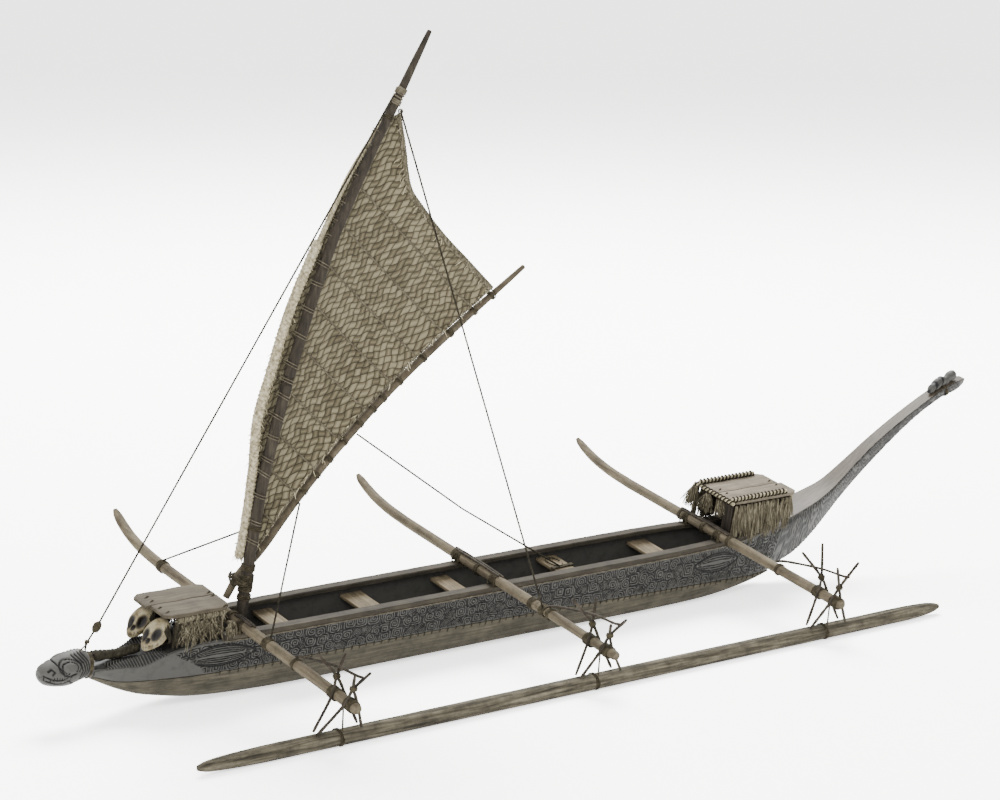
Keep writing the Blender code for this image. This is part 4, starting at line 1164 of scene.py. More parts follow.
def spar_rows(table, y, key):
    """Stations along a spar read by height (key 1) or by length (key 0)."""
    order = tuple((row[key], row[1 - key], row[2]) for row in table)
    rows = []
    for k in range(SPAR_STEPS + 1):
        at = order[0][0] + (order[-1][0] - order[0][0]) * k / SPAR_STEPS
        other, r = curve_value(order, at, 1), curve_value(order, at, 2)
        x, z = (at, other) if key == 0 else (other, at)
        rows.append((Vector((x, y, z)), r, r))
    last = rows[-1]
    ahead = (last[0] - rows[-2][0]).normalized()
    rows[-1] = (last[0] - ahead * 0.0008, last[1], last[2])
    rows.append((last[0] - ahead * 0.0002, last[1] * 0.75, last[2] * 0.75))
    rows.append((last[0], last[1] * 0.35, last[2] * 0.35))
    return rows


finish_piece("mast_pole", pole_skin(spar_rows(MAST, 0.0, 1), 16, 0.03, 3), MAST_WOOD, "rig", ("mast",))
finish_piece("sprit_pole", pole_skin(spar_rows(SPRIT, SPRIT_Y, 0), 14, 0.03, 4), SPAR_WOOD, "rig", ("boom_spar",))
print("spars made")

# %% [markdown]
# The mat is plaited from pandanus strips about 5 mm wide, each passing over one and under the next on the slant.
# Its grid is fine enough to carry every strip, and two attributes give the finish each strip's tone and the painted
# shade in the gaps between strips.

# %% Plaited mat
SAIL_Y, SAIL_THICK, SAIL_BELLY = 0.0046, 0.0014, 0.0070
# Each edge: share of the way up, then x and z
LUFF = tuple((k / 9, *p) for k, p in enumerate((
    (-0.2165, 0.1063), (-0.2138, 0.1305), (-0.2122, 0.1735), (-0.2125, 0.2115), (-0.2045, 0.2495),
    (-0.1950, 0.2895), (-0.1830, 0.3235), (-0.1698, 0.3565), (-0.1550, 0.3900), (-0.1300, 0.4285))))
CLEW = 5 / 9
FOOT = tuple((k / 9, *p) for k, p in enumerate((
    (-0.2050, 0.1090), (-0.1760, 0.1485), (-0.1420, 0.1870), (-0.0980, 0.2290), (-0.0560, 0.2625), (-0.0185, 0.2905))))
LEECH = tuple((CLEW + (1 - CLEW) * k / 7, *p) for k, p in enumerate((
    (-0.0185, 0.2905), (-0.0437, 0.3129), (-0.0697, 0.3358), (-0.0917, 0.3586), (-0.1030, 0.3720), (-0.1083, 0.3850),
    (-0.1136, 0.4050), (-0.1210, 0.4285))))
STRIP = 0.0053
LOW_LEAN, STEEP_LEAN = radians(9.6), radians(70.6)
SAIL_ROWS, SAIL_COLUMNS = 330, 150


def fore_edge(share):
    return [curve_value(LUFF, share, c) for c in (1, 2)]


def aft_edge(share):
    return [curve_value(FOOT if share <= CLEW else LEECH, share, c) for c in (1, 2)]


def sail_point(u, v):
    """The middle of the mat at a share across (luff to leech) and up."""
    fore, aft = fore_edge(v), aft_edge(v)
    x, z = (fore[c] + (aft[c] - fore[c]) * u for c in (0, 1))
    belly = SAIL_BELLY * sin(pi * u) * sin(pi * v)
    return x, SAIL_Y + belly + SAIL_THICK / 2, z


sail_bm = bmesh.new()
across_layer = sail_bm.verts.layers.float.new("across")
along_layer = sail_bm.verts.layers.float.new("along")
bmesh.ops.create_grid(sail_bm, x_segments=SAIL_COLUMNS, y_segments=SAIL_ROWS, size=0.5)
for vert in sail_bm.verts:
    u, v = vert.co.x + 0.5, vert.co.y + 0.5
    x, y, z = sail_point(u, v)
    wobble = 0.0009 * sin(x * 90 + z * 40) + 0.0006 * sin(z * 130)
    a = (z * cos(LOW_LEAN) - x * sin(LOW_LEAN) + wobble) / STRIP + 20
    b = (x * sin(STEEP_LEAN) - z * cos(STEEP_LEAN) + wobble) / STRIP + 120
    a, b = a + 0.09 * sin(2.3 * b + 1.1 * a), b + 0.10 * sin(1.7 * a + 0.6 * b)
    fa, fb = a - int(a) - 0.5, b - int(b) - 0.5
    over = (int(a) + int(b)) % 2 == 0
    near, far = (fb, fa) if over else (fa, fb)
    lift = cos(pi * far) * 0.75 + 0.25
    edge = min(1.0, max(0.0, (abs(near) - 0.38) / 0.10))
    end = min(1.0, max(0.0, (abs(far) - 0.42) / 0.08))
    relief = 0.00050 * lift * (1 - 0.6 * edge) - 0.0003 * end
    vert[across_layer], vert[along_layer] = a, b
    vert.co = (x, y - SAIL_THICK * 0.35 - relief, z)
back = bmesh.ops.duplicate(sail_bm, geom=sail_bm.faces[:])
for item in back["geom"]:
    if isinstance(item, bmesh.types.BMVert):
        item.co.y += SAIL_THICK * 0.7 + 0.0002
bmesh.ops.reverse_faces(sail_bm, faces=[i for i in back["geom"] if isinstance(i, bmesh.types.BMFace)])
bmesh.ops.bridge_loops(sail_bm, edges=[e for e in sail_bm.edges if e.is_boundary])
bmesh.ops.recalc_face_normals(sail_bm, faces=sail_bm.faces[:])

MATTING, mat_tree, mat_shader = new_material("plaited_pandanus_mat")


def weave_step(operation, first, second=None):
    """One arithmetic step of the weave; sockets link, numbers are set."""
    links = {k: v for k, v in ((0, first), (1, second)) if v is not None and not isinstance(v, float)}
    values = {k: v for k, v in ((0, first), (1, second)) if isinstance(v, float)}
    return add(mat_tree, "Math", {"operation": operation}, values, links).outputs["Value"]


# Every strip is one whole number of "across" or "along" wide; odd cells show one way, even cells the other
cells, parts = [], []
for layer in ("across", "along"):
    count = add(mat_tree, "Attribute", {"attribute_name": layer}).outputs["Fac"]
    cells.append(weave_step("FLOOR", count))
    parts.append(weave_step("ABSOLUTE", weave_step("SUBTRACT", weave_step("FRACT", count), 0.5)))
odd = weave_step("MODULO", weave_step("ADD", cells[0], cells[1]), 2.0)
turned = weave_step("SUBTRACT", 1.0, odd)
side_way = weave_step("ADD", weave_step("MULTIPLY", parts[1], turned), weave_step("MULTIPLY", parts[0], odd))
end_way = weave_step("ADD", weave_step("MULTIPLY", parts[0], turned), weave_step("MULTIPLY", parts[1], odd))
# Near-black lines along the strip edges and ends are painted shade in the slits between strips.
side_slit_shade = add(mat_tree, "MapRange", inputs={"From Min": 0.43, "From Max": 0.49, "To Max": 0.6}, links={"Value": side_way})
end_slit_shade = add(mat_tree, "MapRange", inputs={"From Min": 0.40, "From Max": 0.47, "To Max": 1.0}, links={"Value": end_way})
mat_slit_shade = weave_step("MAXIMUM", side_slit_shade.outputs["Result"], end_slit_shade.outputs["Result"])
cell_place = add(mat_tree, "CombineXYZ", links={"X": cells[0], "Y": cells[1]}).outputs["Vector"]
cell_tone = add(mat_tree, "TexWhiteNoise", links={"Vector": cell_place}).outputs["Value"]
# Each strip's tone varies at random from cell to cell and darkens towards its ends, where it passes under the crossing
# strip: painted shade.
mat_tone_and_end_shade = weave_step("ADD", weave_step("MULTIPLY", cell_tone, 0.4), weave_step("SUBTRACT", 0.55, end_way))
mat_place = add(mat_tree, "TexCoord").outputs["Object"]
mat_blotch = add(mat_tree, "TexNoise", inputs={"Scale": 22.0, "Detail": 5.0, "Roughness": 0.7},
                 links={"Vector": mat_place}).outputs["Fac"]
mat_hair = add(mat_tree, "TexNoise", inputs={"Scale": 900.0, "Detail": 3.0}, links={"Vector": mat_place}).outputs["Fac"]
mat_sum = add(mat_tree, "Math", {"operation": "MULTIPLY_ADD"}, {1: 0.45}, {0: mat_blotch, 2: mat_tone_and_end_shade}).outputs["Value"]
mat_leaf = ramp(mat_tree, mat_sum, ((0.25, "#544c39"), (0.65, "#8a8067"), (1.1, "#bfb597")), 0.7)
# The slits are mixed in nearly black as painted shade.
mat_mix = add(mat_tree, "Mix", {"data_type": "RGBA"}, {"B": linear("#15120c")}, {"Factor": mat_slit_shade, "A": mat_leaf})
mat_tree.links.new(mat_mix.outputs["Result"], mat_shader.inputs["Base Color"])
mat_bump = add(mat_tree, "Bump", inputs={"Strength": 0.4, "Distance": 0.0003}, links={"Height": mat_hair})
mat_tree.links.new(mat_bump.outputs["Normal"], mat_shader.inputs["Normal"])
mat_shader.inputs["Roughness"].default_value = 0.75
mat_shader.inputs["Specular IOR Level"].default_value = 0.08
sail_piece = finish_piece("plaited_sail", sail_bm, MATTING, "rig", ("sail",), sharp=70.0)
print("mat faces:", len(sail_piece.data.polygons))

# %% [markdown]
# ## Sticks over the float
# Four charred twigs cross in pairs over each boom's end, with a thin rod laid in their forks. Twigs are cords of
# wood: each route's radius wanders a little.

# %% Crossed sticks
STICK_R, STICK_BASE_Z = 0.0011, FLOAT_Z + FLOAT_R + 0.0006
BESIDE = BOOM_R + STICK_R + 0.0007
CROSSINGS = {"inner": (-0.1490, -0.1385, 0.0772), "outer": (-0.1550, -0.1590, 0.0768)}
# boom, pair, base dx, top dx, top y, top z
STICKS = (
    (0, "inner", -0.0225, 0.0100, -0.1325, 0.0895), (0, "inner", 0.0140, -0.0120, -0.1300, 0.0925),
    (0, "outer", 0.0135, -0.0040, -0.1640, 0.0890), (0, "outer", -0.0240, 0.0085, -0.1650, 0.0900),
    (1, "inner", -0.0185, 0.0085, -0.1290, 0.0920), (1, "inner", 0.0150, -0.0135, -0.1280, 0.0950),
    (1, "outer", 0.0190, -0.0060, -0.1650, 0.0890), (1, "outer", -0.0190, 0.0085, -0.1650, 0.0905),
    (2, "inner", -0.0185, 0.0085, -0.1255, 0.0990), (2, "inner", 0.0150, -0.0145, -0.1280, 0.0960),
    (2, "outer", 0.0170, -0.0130, -0.1660, 0.0980), (2, "outer", -0.0200, 0.0080, -0.1670, 0.1000),
)
ROD_LINE = (
    (-0.0885, 0.0698, (0.0, 0.0, 0.0)),
    (-0.1000, 0.0742, (0.0, 0.0, 0.0)),
    (-0.1385, 0.0848, (-0.0009, -0.0006, -0.0025)),
    (-0.1590, 0.0868, (0.0010, 0.0010, 0.0005)),
    (-0.1665, 0.0885, (0.0012, 0.0014, 0.0010)),
)


def twig(points, radius, rng):
    """A natural stick through a few points: never quite straight or even."""
    route = smooth_route(points, 7)
    count = len(route)
    return [(spot, radius * (0.90 + 0.22 * rng.random()) * (1 if 0 < k < count - 1 else 0.8))
            for k, spot in enumerate(route)]


for number, boom_x in enumerate(BOOM_X):
    for pair in ("inner", "outer"):
        base_y, cross_y, cross_z = CROSSINGS[pair]
        share = (BOOM_Z - STICK_BASE_Z) / (cross_z - STICK_BASE_Z)
        routes = []
        for boom, which, base_dx, top_dx, top_y, top_z in STICKS:
            if (boom, which) != (number, pair):
                continue
            beside = BESIDE if base_dx > 0 else -BESIDE
            routes.append(twig(((boom_x + base_dx, base_y, STICK_BASE_Z),
                                (boom_x + beside, base_y + (cross_y - base_y) * share, BOOM_Z),
                                (boom_x, cross_y, cross_z), (boom_x + top_dx, top_y, top_z)),
                               STICK_R, Random(number * 7 + len(routes))))
        cords("twigs_%d_%s" % (number + 1, pair), routes, TWIG_WOOD, sides=2,
              replaced=("sticks_%d_%s" % (number + 1, pair),))
    rod = twig([(boom_x + aside[number], y, z) for y, z, aside in ROD_LINE], 0.0010, Random(50 + number))
    cords("fork_rod_%d" % (number + 1), [rod], TWIG_WOOD, sides=2, replaced=("brace_rod_%d" % (number + 1),))
print("sticks made")

# %% [markdown]
# ## Running and standing lines
# Every line is two rolled strands. The stays end on the hull and at the mast's hinge line, so they ride on the
# hull; the sheet, tack and luff lines cross the hinge and stretch between hull and rig.

# %% Lines
forestay = [(-0.3430, 0.0, 0.0568), (-0.3420, 0.0, 0.0622), (-0.3350, 0.0, 0.0730), (-0.1304, 0.0, 0.4452)]
backstay = [(-0.1262, -0.0040, 0.4350), (-0.0030, -0.0842, 0.0681)]
cords("rolled_forestay", laid(forestay, 0.0007, 0.0100, 3), DARK_CORD, replaced=("forestay",))
cords("rolled_backstay", laid(backstay, 0.0007, 0.0100, 3), DARK_CORD, replaced=("backstay",))
MOVING_LINES = (
    ("rolled_sheet", "sheet_line", ((0.0820, 0.0, 0.0527), (-0.0200, 0.0036, 0.1150), (-0.1262, 0.0038, 0.1893))),
    ("rolled_tack_line", "tack_line", ((-0.2255, -0.0555, 0.0695), (-0.1705, 0.0040, 0.1412))),
    ("rolled_luff_line", "luff_line", ((-0.2264, 0.0900, 0.0694), (-0.2134, 0.0071, 0.1255))),
)
for name, node, points in MOVING_LINES:
    moving = cords(name, laid(points, 0.0007, 0.0100, 3), DARK_CORD, body=None, replaced=(node,))
    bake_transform(moving)
print("lines made")

# %% [markdown]
# ## Lashings
# Nothing on this canoe is nailed. Cord holds the booms to the rails, the splice in the middle boom, the twigs to the
# booms and the float to all of them. Every lashing is a list of windings turned to a mesh at once.

# %% Booms tied to the rails
BOOM_TOP = BOOM_Z + BOOM_R


def gunwale_lash(x, y, crossings):
    """Cord crossing over the boom and under the rail, then a few turns round its own neck."""
    low = hull(x, SHEER) - 0.0010
    middle, half = (BOOM_TOP + 0.0006 + low) / 2, (BOOM_TOP + 0.0006 - low) / 2
    routes = []
    for k in range(crossings):
        lean = 0.85 * (1 if k % 2 else -1) * (1 - 0.12 * (k // 2))
        routes.append(winding((x, y, middle), (lean, 1.0, 0.0), 0.0062, 1.1, 0.0012, 0.00055, oval=half / 0.0062))
    routes.append(winding((x, y, BOOM_Z), (0, 1, 0), BOOM_R + 0.0005, 4.5, 0.0065, 0.0005))
    return routes


boom_ties = []
for number, x in enumerate(BOOM_X):
    edge = hull(x, SHEER_BEAM) - 0.0036
    for y in (-edge, edge):
        boom_ties += gunwale_lash(x, y, 6)
    boom_ties.append(winding((x, -0.002 if number else -0.006, BOOM_Z), (0, 1, 0), BOOM_R + 0.0009, 4, 0.0034, 0.0006))
cords("gunwale_lashings", boom_ties, SENNIT)

# boom, y of the middle, turns, width
BOOM_TIES = (
    (0, -0.0530, 3, 0.0030), (0, -0.0905, 2.5, 0.0024), (0, 0.0900, 5, 0.0060), (0, -0.0555, 4, 0.0040),
    (1, -0.0700, 5, 0.0050), (1, -0.0842, 6, 0.0060), (1, -0.0913, 2.5, 0.0024), (1, 0.0280, 3, 0.0030),
    (2, -0.0924, 2.5, 0.0024), (2, 0.0270, 3, 0.0030), (2, -0.0330, 3, 0.0030),
    (0, -0.1385, 7, 0.0080), (1, -0.1385, 7, 0.0080), (2, -0.1385, 7, 0.0080),
    (0, -0.1585, 8, 0.0085), (1, -0.1585, 8, 0.0085), (2, -0.1585, 8, 0.0085),
)
ring_ties = [winding((BOOM_X[b], y, BOOM_Z), (0.04, 1, 0.03), BOOM_R + 0.0005, turns, width, 0.00055)
             for b, y, turns, width in BOOM_TIES]
cords("boom_ties", ring_ties, SENNIT)
# boom, fore or aft shift, y from, y to
SPLINTS = ((0, 0.0012, -0.0350, -0.0120), (0, -0.0010, -0.0330, -0.0105), (1, 0.0012, -0.0300, 0.0310),
           (1, -0.0012, -0.0270, 0.0290), (2, 0.0012, -0.0330, 0.0300), (2, -0.0012, -0.0310, 0.0270))
splints = []
for b, shift, y_from, y_to in SPLINTS:
    x = BOOM_X[b] + shift
    splints.append(twig(((x, y_from, BOOM_TOP + 0.0004), (x, (y_from + y_to) / 2, BOOM_TOP + 0.0009),
                         (x, y_to, BOOM_TOP + 0.0004)), 0.0010, Random(int(y_to * 1e4))))
cords("boom_splints", splints, TWIG_WOOD)
print("boom ties:", len(boom_ties) + len(ring_ties))

# %% [markdown]
# A loop of cord goes down from each boom and round the float, and each crossing of twigs is bound where it rides
# over the boom.

# %% Float loops and twig crossings
float_loops, twig_ties = [], []
LEVEL_UP = TIP.inverted() @ Vector((0.0, 0.0, 1.0))
for number, x in enumerate(BOOM_X):
    drop = [Vector((x - 0.0052, -0.1560, BOOM_Z + 0.002)), Vector((x - 0.0050, -0.1570, BOOM_Z - 0.004)),
            Vector((x - 0.0030, -0.1560, FLOAT_Z + FLOAT_R + 0.001))]
    float_loops += laid(drop, 0.0007, 0.0034)
    for turn in range(2):
        float_loops.append(winding((x - 0.0042 + 0.0013 * turn, FLOAT_Y, FLOAT_Z), (1, 0.05 * turn, 0), FLOAT_R + 0.0005,
                                   1.05, 0.0008, 0.00055))
    for pair in ("inner", "outer"):
        base_y, cross_y, cross_z = CROSSINGS[pair]
        for lean in (-0.5, 0.5):
            twig_ties.append(winding((x, cross_y, cross_z), (lean, 0.2, 1.0), 0.0024, 3.2, 0.0018, 0.0005, up=(0, 1, 0)))
# The loops are let into the float's underside, so that it still rests on the floor
float_loops = [[(spot + LEVEL_UP * max(0.0, radius + 0.0002 - (STANCE @ spot).z), radius) for spot, radius in loop]
               for loop in float_loops]
cords("float_loops", float_loops, SENNIT)
cords("twig_crossing_ties", twig_ties, SENNIT)
print("float loops:", len(float_loops), "twig ties:", len(twig_ties))

# %% [markdown]
# The side planks are sewn to the log: short stitches cross the seam and a pale thread runs along it. A second pale
# line shows under the rail.

# %% Sewn seams
stitches, seam_thread, rail_thread = [], [], []
for hand in (-1, 1):
    rng = Random(60 + hand)
    x = -0.243
    while x < 0.296:
        out, seam = hull(x, SEAM_BEAM) + 0.0003, hull(x, SEAM)
        reach = rng.uniform(0.0016, 0.0028)
        stitches.append([(Vector((x, hand * (out - 0.0004), seam - reach)), 0.00022),
                         (Vector((x + 0.0003, hand * (out + 0.0003), seam)), 0.00032),
                         (Vector((x, hand * (out + 0.0002), seam + reach)), 0.00022)])
        ahead = min(x + rng.uniform(0.0045, 0.0062), 0.298)
        run = [x + (ahead - x) * k / 3 for k in range(4)]
        seam_thread.append([(Vector((s, hand * (hull(s, SEAM_BEAM) + 0.0001), hull(s, SEAM) + 0.0001)), 0.0003) for s in run])
        x += rng.uniform(0.0055, 0.0080)
    line = [RAIL[0] + (RAIL[1] - RAIL[0]) * k / 90 for k in range(91)]
    rail_thread.append([(Vector((s, hand * (hull(s, SHEER_BEAM) + 0.0003), hull(s, SHEER) - 0.0004)), 0.0004) for s in line])
cords("seam_stitches", stitches, DARK_CORD)
cords("seam_thread", seam_thread[::2], PALE_CORD)
cords("under_rail_line", rail_thread, PALE_CORD)
print("stitches:", len(stitches))

# %% [markdown]
# The forestay comes down through a knobbed bead to a small bridle on the figurehead's neck, over many turns of cord.

# %% Bead, bridle and neck cords
bead_bm = bmesh.new()
bead_cut = bead_bm.verts.layers.float.new("cut")
bmesh.ops.create_icosphere(bead_bm, subdivisions=4, radius=1.0)
for vert in bead_bm.verts:
    way = vert.co.copy()
    lump = 0.5 + 0.5 * sin(way.z * 9 + 2 * atan2(way.y, way.x)) * cos(3 * atan2(way.y, way.x))
    vert.co = Vector((way.x * 0.0031, way.y * 0.0031, way.z * 0.0045)) * (0.86 + 0.2 * lump)
    vert[bead_cut] = 0.8 * (1 - lump) ** 3
bead_turn = Matrix.Translation((-0.3350, 0.0, 0.0730)) @ Matrix.Rotation(radians(29), 4, "Y")
bmesh.ops.transform(bead_bm, matrix=bead_turn, verts=bead_bm.verts[:])
finish_piece("stay_bead", bead_bm, SENNIT)
neck_turns = [winding((-0.3405 - 0.0008 * k, 0.0, 0.0448), (1, 0, -0.15 + 0.1 * k), 0.0081, 1.6, 0.0016, 0.00055, oval=1.16)
              for k in range(2)]
neck_turns += laid([Vector((-0.3424, -0.0012, 0.0618)), Vector((-0.3500, -0.0040, 0.0588))], 0.0006, 0.003)
neck_turns += laid([Vector((-0.3424, 0.0012, 0.0618)), Vector((-0.3400, 0.0040, 0.0530))], 0.0006, 0.003)
neck_turns.append(winding((-0.3418, 0.0, 0.0630), (0.4, 0, 1), 0.0013, 3, 0.0018, 0.0005, up=(0, 1, 0)))
cords("neck_cords", neck_turns, SENNIT)
print("bead and bridle made")

# %% [markdown]
# ## Shelter dressing
# Cord ties the roof boards down. The bow shelter has a roll of straw under its eave and a small bundle beside it;
# the stern shelter has roof edges wound with cord, a raffia fringe, tufts and a little post.

# %% Roof ties
# x, y and run of each short tie on the bow roof, then on the stern roof
ROOF_TIES = (
    (-0.2880, 0.0124, 0.0), (-0.2880, 0.0054, 0.0), (-0.2885, -0.0064, 0.0), (-0.2872, -0.0148, 0.0),
    (-0.2417, 0.0037, 0.0), (-0.2418, -0.0018, 0.0), (-0.2430, -0.0205, 0.0),
    (0.2460, -0.0040, 0.0), (0.2460, 0.0045, 0.0), (0.3000, -0.0040, 0.0), (0.3000, 0.0045, 0.0),
)
roof_ties = []
for x, y, run in ROOF_TIES:
    top = (0.0798 if x < 0 else 0.0896) + ROOF_THICK
    for lean in (0.0009,):
        roof_ties.append([(Vector((x - 0.0022, y - lean, top - 0.0002)), 0.0005), (Vector((x, y, top + 0.0007)), 0.0006),
                          (Vector((x + 0.0022, y + lean, top - 0.0002)), 0.0005)])
cords("roof_ties", roof_ties, SENNIT)


# %% Straw roll, bundle and fringe


def tuft(rng, top, count, spread, down, thick=0.0005):
    """Stems from one spot that fan out as they fall."""
    stems = []
    for _ in range(count):
        lean = (rng.uniform(*spread[0]), rng.uniform(*spread[1]), 0.0)
        start = Vector(top) + Vector((rng.uniform(-0.002, 0.002), rng.uniform(-0.002, 0.002), 0.0))
        stems.append(straw_stem(rng, start, down * rng.uniform(0.55, 1.0), lean,
                                (rng.uniform(-0.002, 0.002), rng.uniform(-0.002, 0.002)), thick * rng.uniform(0.7, 1.2)))
    return stems


rng = Random(77)
eave = []
for hand in (-1, 1):
    y = hand * 0.0184
    eave += laid([Vector((-0.2805 + 0.0130 * k, y, 0.0770 + 0.0004 * (k % 2))) for k in range(4)], 0.0030, 0.0090, 4)
cords("bow_eave_roll", eave, STRAW)
messy = []
for _ in range(260):
    hand = rng.choice((-1, 1))
    messy.append(straw_stem(rng, (rng.uniform(-0.2795, -0.2430), hand * rng.uniform(0.0188, 0.0212), rng.uniform(0.0700, 0.0785)),
                            rng.uniform(0.003, 0.022), (rng.uniform(-0.013, 0.013), hand * rng.uniform(-0.001, 0.0018), 0.0),
                            (rng.uniform(-0.003, 0.003), hand * 0.001), rng.uniform(0.0003, 0.0006)))
messy = [stem for stem in messy if all(-0.2812 < spot.x < -0.2385 for spot, _ in stem)]
cords("bow_messy_straws", messy, STRAW, sides=0)
bundle = tuft(rng, (-0.2375, -0.0222, 0.0700), 60, ((-0.003, 0.003), (-0.0015, 0.0005)), 0.014, 0.0006)
bundle.append(winding((-0.2375, -0.0224, 0.0640), (0, 0, 1), 0.0030, 3, 0.0022, 0.0005, up=(0, 1, 0)))
cords("bow_side_bundle", bundle, STRAW, sides=0)
fringe = []
for clump in range(15):
    for hand in (-1, 1):
        knot = 0.2405 + 0.0580 * clump / 14 + rng.uniform(-0.001, 0.001)
        reach, out = rng.uniform(0.020, 0.034), rng.uniform(0.0, 0.0012)
        for _ in range(30):
            fan = rng.gauss(0, 0.0017)
            fringe.append(straw_stem(rng, (knot + rng.uniform(-0.0005, 0.0005), hand * (rng.uniform(0.0222, 0.0236) + out), 0.0893),
                                     reach * rng.uniform(0.75, 1.05), (fan, hand * rng.uniform(-0.0006, 0.0014), 0.0),
                                     (fan * 0.5, hand * 0.0008), rng.uniform(0.0004, 0.0008)))
cords("stern_raffia_fringe", fringe, STRAW, sides=0)
tufts = tuft(rng, (0.2372, 0.0235, 0.0905), 110, ((-0.006, 0.004), (-0.004, 0.009)), 0.021)
tufts += tuft(rng, (0.2372, -0.0060, 0.0888), 70, ((-0.003, 0.003), (-0.008, 0.003)), 0.015)
tufts += tuft(rng, (0.2372, 0.0080, 0.0888), 70, ((-0.003, 0.003), (-0.005, 0.006)), 0.017)
cords("stern_front_tufts", tufts, STRAW, sides=0)
print("loose straws:", len(fringe) + len(tufts) + len(bundle))

# %% Wound roof edges, panel and post
edge_poles = [[(Vector((0.2370, y, 0.0940)), 0.0016), (Vector((0.2960, y, 0.0940)), 0.0016)] for y in (-0.0203, 0.0203)]
edge_poles.append([(Vector((0.2368, -0.0230, 0.0915)), 0.0015), (Vector((0.2368, 0.0250, 0.0915)), 0.0015)])
cords("roof_edge_poles", edge_poles, EDGING, sides=2)
edge_wraps = [winding((0.2665, y, 0.0940), (1, 0, 0), 0.0020, 15, 0.058, 0.00075) for y in (-0.0203, 0.0203)]
edge_wraps.append(winding((0.2368, 0.0010, 0.0915), (0, 1, 0), 0.0019, 12, 0.047, 0.0007))
cords("roof_edge_wraps", edge_wraps, DARK_CORD)
finish_piece("stern_shelter_panel", board((0.2390, -0.0205, 0.0660), (0.2402, -0.0100, 0.0880), (1, 6, 8), 0.0003),
             MAST_WOOD)
post = [[(Vector((0.3052, -0.0160, 0.0650)), 0.0024), (Vector((0.3056, -0.0162, 0.0760)), 0.0022),
         (Vector((0.3060, -0.0164, 0.0880)), 0.0023)]]
cords("stern_corner_post", post, EDGING, sides=2)
post_turns = [winding((0.4835, 0, 0.1528), (0.92, 0, 0.38), 0.0060, 3, 0.0024, 0.0005, oval=0.95),
              winding((0.3056, -0.0162, 0.0800), (0, 0, 1), 0.0026, 4, 0.0030, 0.0005, up=(0, 1, 0))]
cords("post_turns", post_turns, SENNIT)
print("stern shelter dressed")

# %% [markdown]
# ## Rig dressing
# The mat has a thick braid sewn along the luff, thinner ones along leech and foot, and light cords stitched over it
# on the slant. Thin lacing holds the luff to the mast, dark ties hold the foot to the spar.

# %% Mat edges and stitched lines
luff_route = smooth_route([(*sail_point(0.0, k / 9)[:2], sail_point(0.0, k / 9)[2]) for k in range(10)], 10)
# The braid thins towards the head of the mat, where the forestay comes close when the rig turns
luff_braid = laid([p + Vector((-0.0018, -0.0006, 0.0)) for p in luff_route[:66]], 0.0036, 0.0092, 3)
luff_braid += laid([p + Vector((-0.0004, 0.0002, 0.0)) for p in luff_route[64:]], 0.0020, 0.0070, 3)
cords("luff_braid", luff_braid, EDGING, "rig")
foot_route = [Vector(sail_point(1.0, k / 45)) for k in range(26)]
leech_route = [Vector(sail_point(1.0, k / 90)) for k in range(50, 91)]
rng = Random(31)
fuzz = []
for k in range(800):
    v = rng.random()
    v *= 0.66 if k % 10 else 1.0
    x, y, z = sail_point(0.0 if k % 10 else 1.0, v)
    lean = (rng.uniform(-0.006, 0.002), rng.uniform(-0.003, 0.002), 0.0)
    fuzz.append(straw_stem(rng, (x + rng.uniform(-0.003, 0.001), y - 0.001, z), rng.uniform(0.001, 0.006), lean,
                           (rng.uniform(-0.002, 0.002), rng.uniform(-0.001, 0.001)), rng.uniform(0.0003, 0.0006)))
cords("mat_edge_fuzz", fuzz, EDGING, "rig", sides=0)
cords("foot_braid", laid(foot_route, 0.0013, 0.0052, 3), STRAW, "rig")
cords("leech_braid", laid(leech_route, 0.0025, 0.0070, 3), STRAW, "rig")
SLANT = radians(-42)


def slant_route(v_from):
    """Points on the near face of the mat along a straight line down from the luff."""
    start = fore_edge(v_from)
    run, v = [], v_from
    while v > 0.012:
        fore, aft = fore_edge(v), aft_edge(v)
        over = (aft[0] - fore[0]) * sin(SLANT) - (aft[1] - fore[1]) * cos(SLANT)
        u = -((fore[0] - start[0]) * sin(SLANT) - (fore[1] - start[1]) * cos(SLANT)) / over
        if u > 0.985:
            break
        if u >= 0:
            x, y, z = sail_point(u, v)
            run.append(Vector((x, y - 0.0016, z)))
        v -= 0.008
    return run


slants = []
for v_from in (0.16, 0.25, 0.34, 0.43, 0.52, 0.61, 0.70, 0.79, 0.88):
    slants += laid(slant_route(v_from), 0.0007, 0.0060)
cords("slanting_mat_cords", slants, PALE_CORD, "rig")
print("mat edged")

# %% Lacing and spar ties
MAST_BY_HEIGHT = tuple((z, x, r) for x, z, r in MAST)


def mast_turns(z, turns, width, strand, extra=0.0005):
    """Cord wound close round the mast at one height."""
    x, r = curve_value(MAST_BY_HEIGHT, z, 1), curve_value(MAST_BY_HEIGHT, z, 2)
    ahead = (curve_value(MAST_BY_HEIGHT, z + 0.01, 1) - x, 0.0, 0.01)
    return winding((x, 0.0, z), ahead, r + extra, turns, width, strand, up=(0, 1, 0))


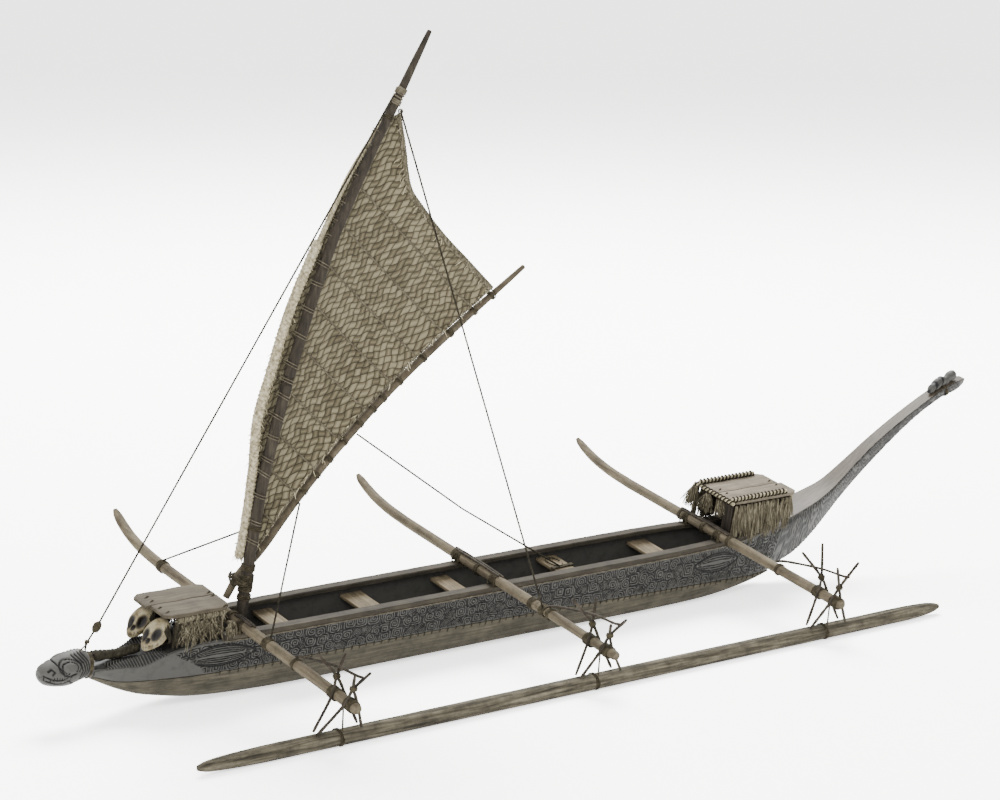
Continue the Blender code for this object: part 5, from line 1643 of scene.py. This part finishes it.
lacing = []
z, rng = 0.118, Random(9)
while z < 0.424:
    x, r = curve_value(MAST_BY_HEIGHT, z, 1), curve_value(MAST_BY_HEIGHT, z, 2)
    if z > 0.34:
        x, r = x + 0.0005, r - 0.0012
    lean = rng.uniform(0.25, 0.6)
    for k in (0, 1):
        lacing.append(winding((x - 0.0004, 0.0026, z + 0.0022 * k), (lean, 0, 1), r + 0.0012, 1.1, 0.0022, 0.0003,
                              oval=1.45, up=(0, 1, 0)))
    z += rng.uniform(0.010, 0.022)
cords("mast_lacing", lacing, PALE_CORD, "rig")
cords("mast_head_wraps", [mast_turns(0.4400, 3, 0.004, 0.0006), mast_turns(0.4480, 3, 0.004, 0.0008), mast_turns(0.4440, 2, 0.005, 0.0005)], PALE_CORD, "rig")
wraps = [mast_turns(0.4290, 3, 0.004, 0.0005), mast_turns(0.0870, 9, 0.013, 0.0007),
         mast_turns(0.0990, 4, 0.005, 0.0006), mast_turns(0.1290, 3, 0.004, 0.0005), mast_turns(0.0760, 3, 0.004, 0.0005)]
wraps.append(winding((-0.1266, -0.0046, 0.4345), (1, 0.4, 0), 0.0016, 1.2, 0.0006, 0.0005))
wraps += [winding((-0.2165, 0.0045, 0.0880), (0.35 * k, 0, 1), 0.0056, 2.2, 0.0040, 0.0007, oval=1.75, up=(0, 1, 0))
          for k in (-1, 1)]
cords("mast_wraps", wraps, SENNIT, "rig")
SPRIT_TIES = (-0.0914, -0.1045, -0.1124, -0.1230, -0.1352, -0.1467, -0.1566, -0.1664, -0.0720, -0.0500, -0.0300, -0.0150)
spar_ties = []
for x in SPRIT_TIES:
    z, ahead_z = curve_value(SPRIT, x, 1), curve_value(SPRIT, x + 0.004, 1)
    spar_ties.append(winding((x, SPRIT_Y, z), (0.004, 0, ahead_z - z), 0.0034, 2.5, 0.0018, 0.0005))
    spar_ties.append(winding((x - 0.0014, SPRIT_Y - 0.0012, z + 0.0030), (0.004, 0.0006, ahead_z - z), 0.0044, 1.1, 0.0008,
                             0.0004, oval=1.35))
cords("spar_ties", spar_ties, SENNIT, "rig")
print("lacing loops:", len(lacing), "spar ties:", len(spar_ties))

# %% [markdown]
# The sheet is made fast round the fourth seat, with a loose loop left lying on it.

# %% Sheet made fast
seat_from, seat_wide = THWARTS[3]
fast = []
for k in range(3):
    y = 0.0012 * k - 0.0010
    low, high = THWART_TOP - THWART_THICK - 0.0008, THWART_TOP + 0.0006
    x0, x1 = seat_from - 0.0008, seat_from + seat_wide + 0.0008
    fast.append([(Vector(p), 0.0006) for p in ((x0, y, low), (x0, y, high), (x1, y + 0.0010, high), (x1, y + 0.0010, low),
                                               (x0, y + 0.0012, low))])
fast.append([(Vector((0.0835 + 0.0055 * cos(t), 0.0090 + 0.0085 * sin(t), THWART_TOP + 0.0009)), 0.0006)
             for t in [2 * pi * n / 24 for n in range(23)]])
cords("sheet_fast", fast, SENNIT)
print("sheet made fast")
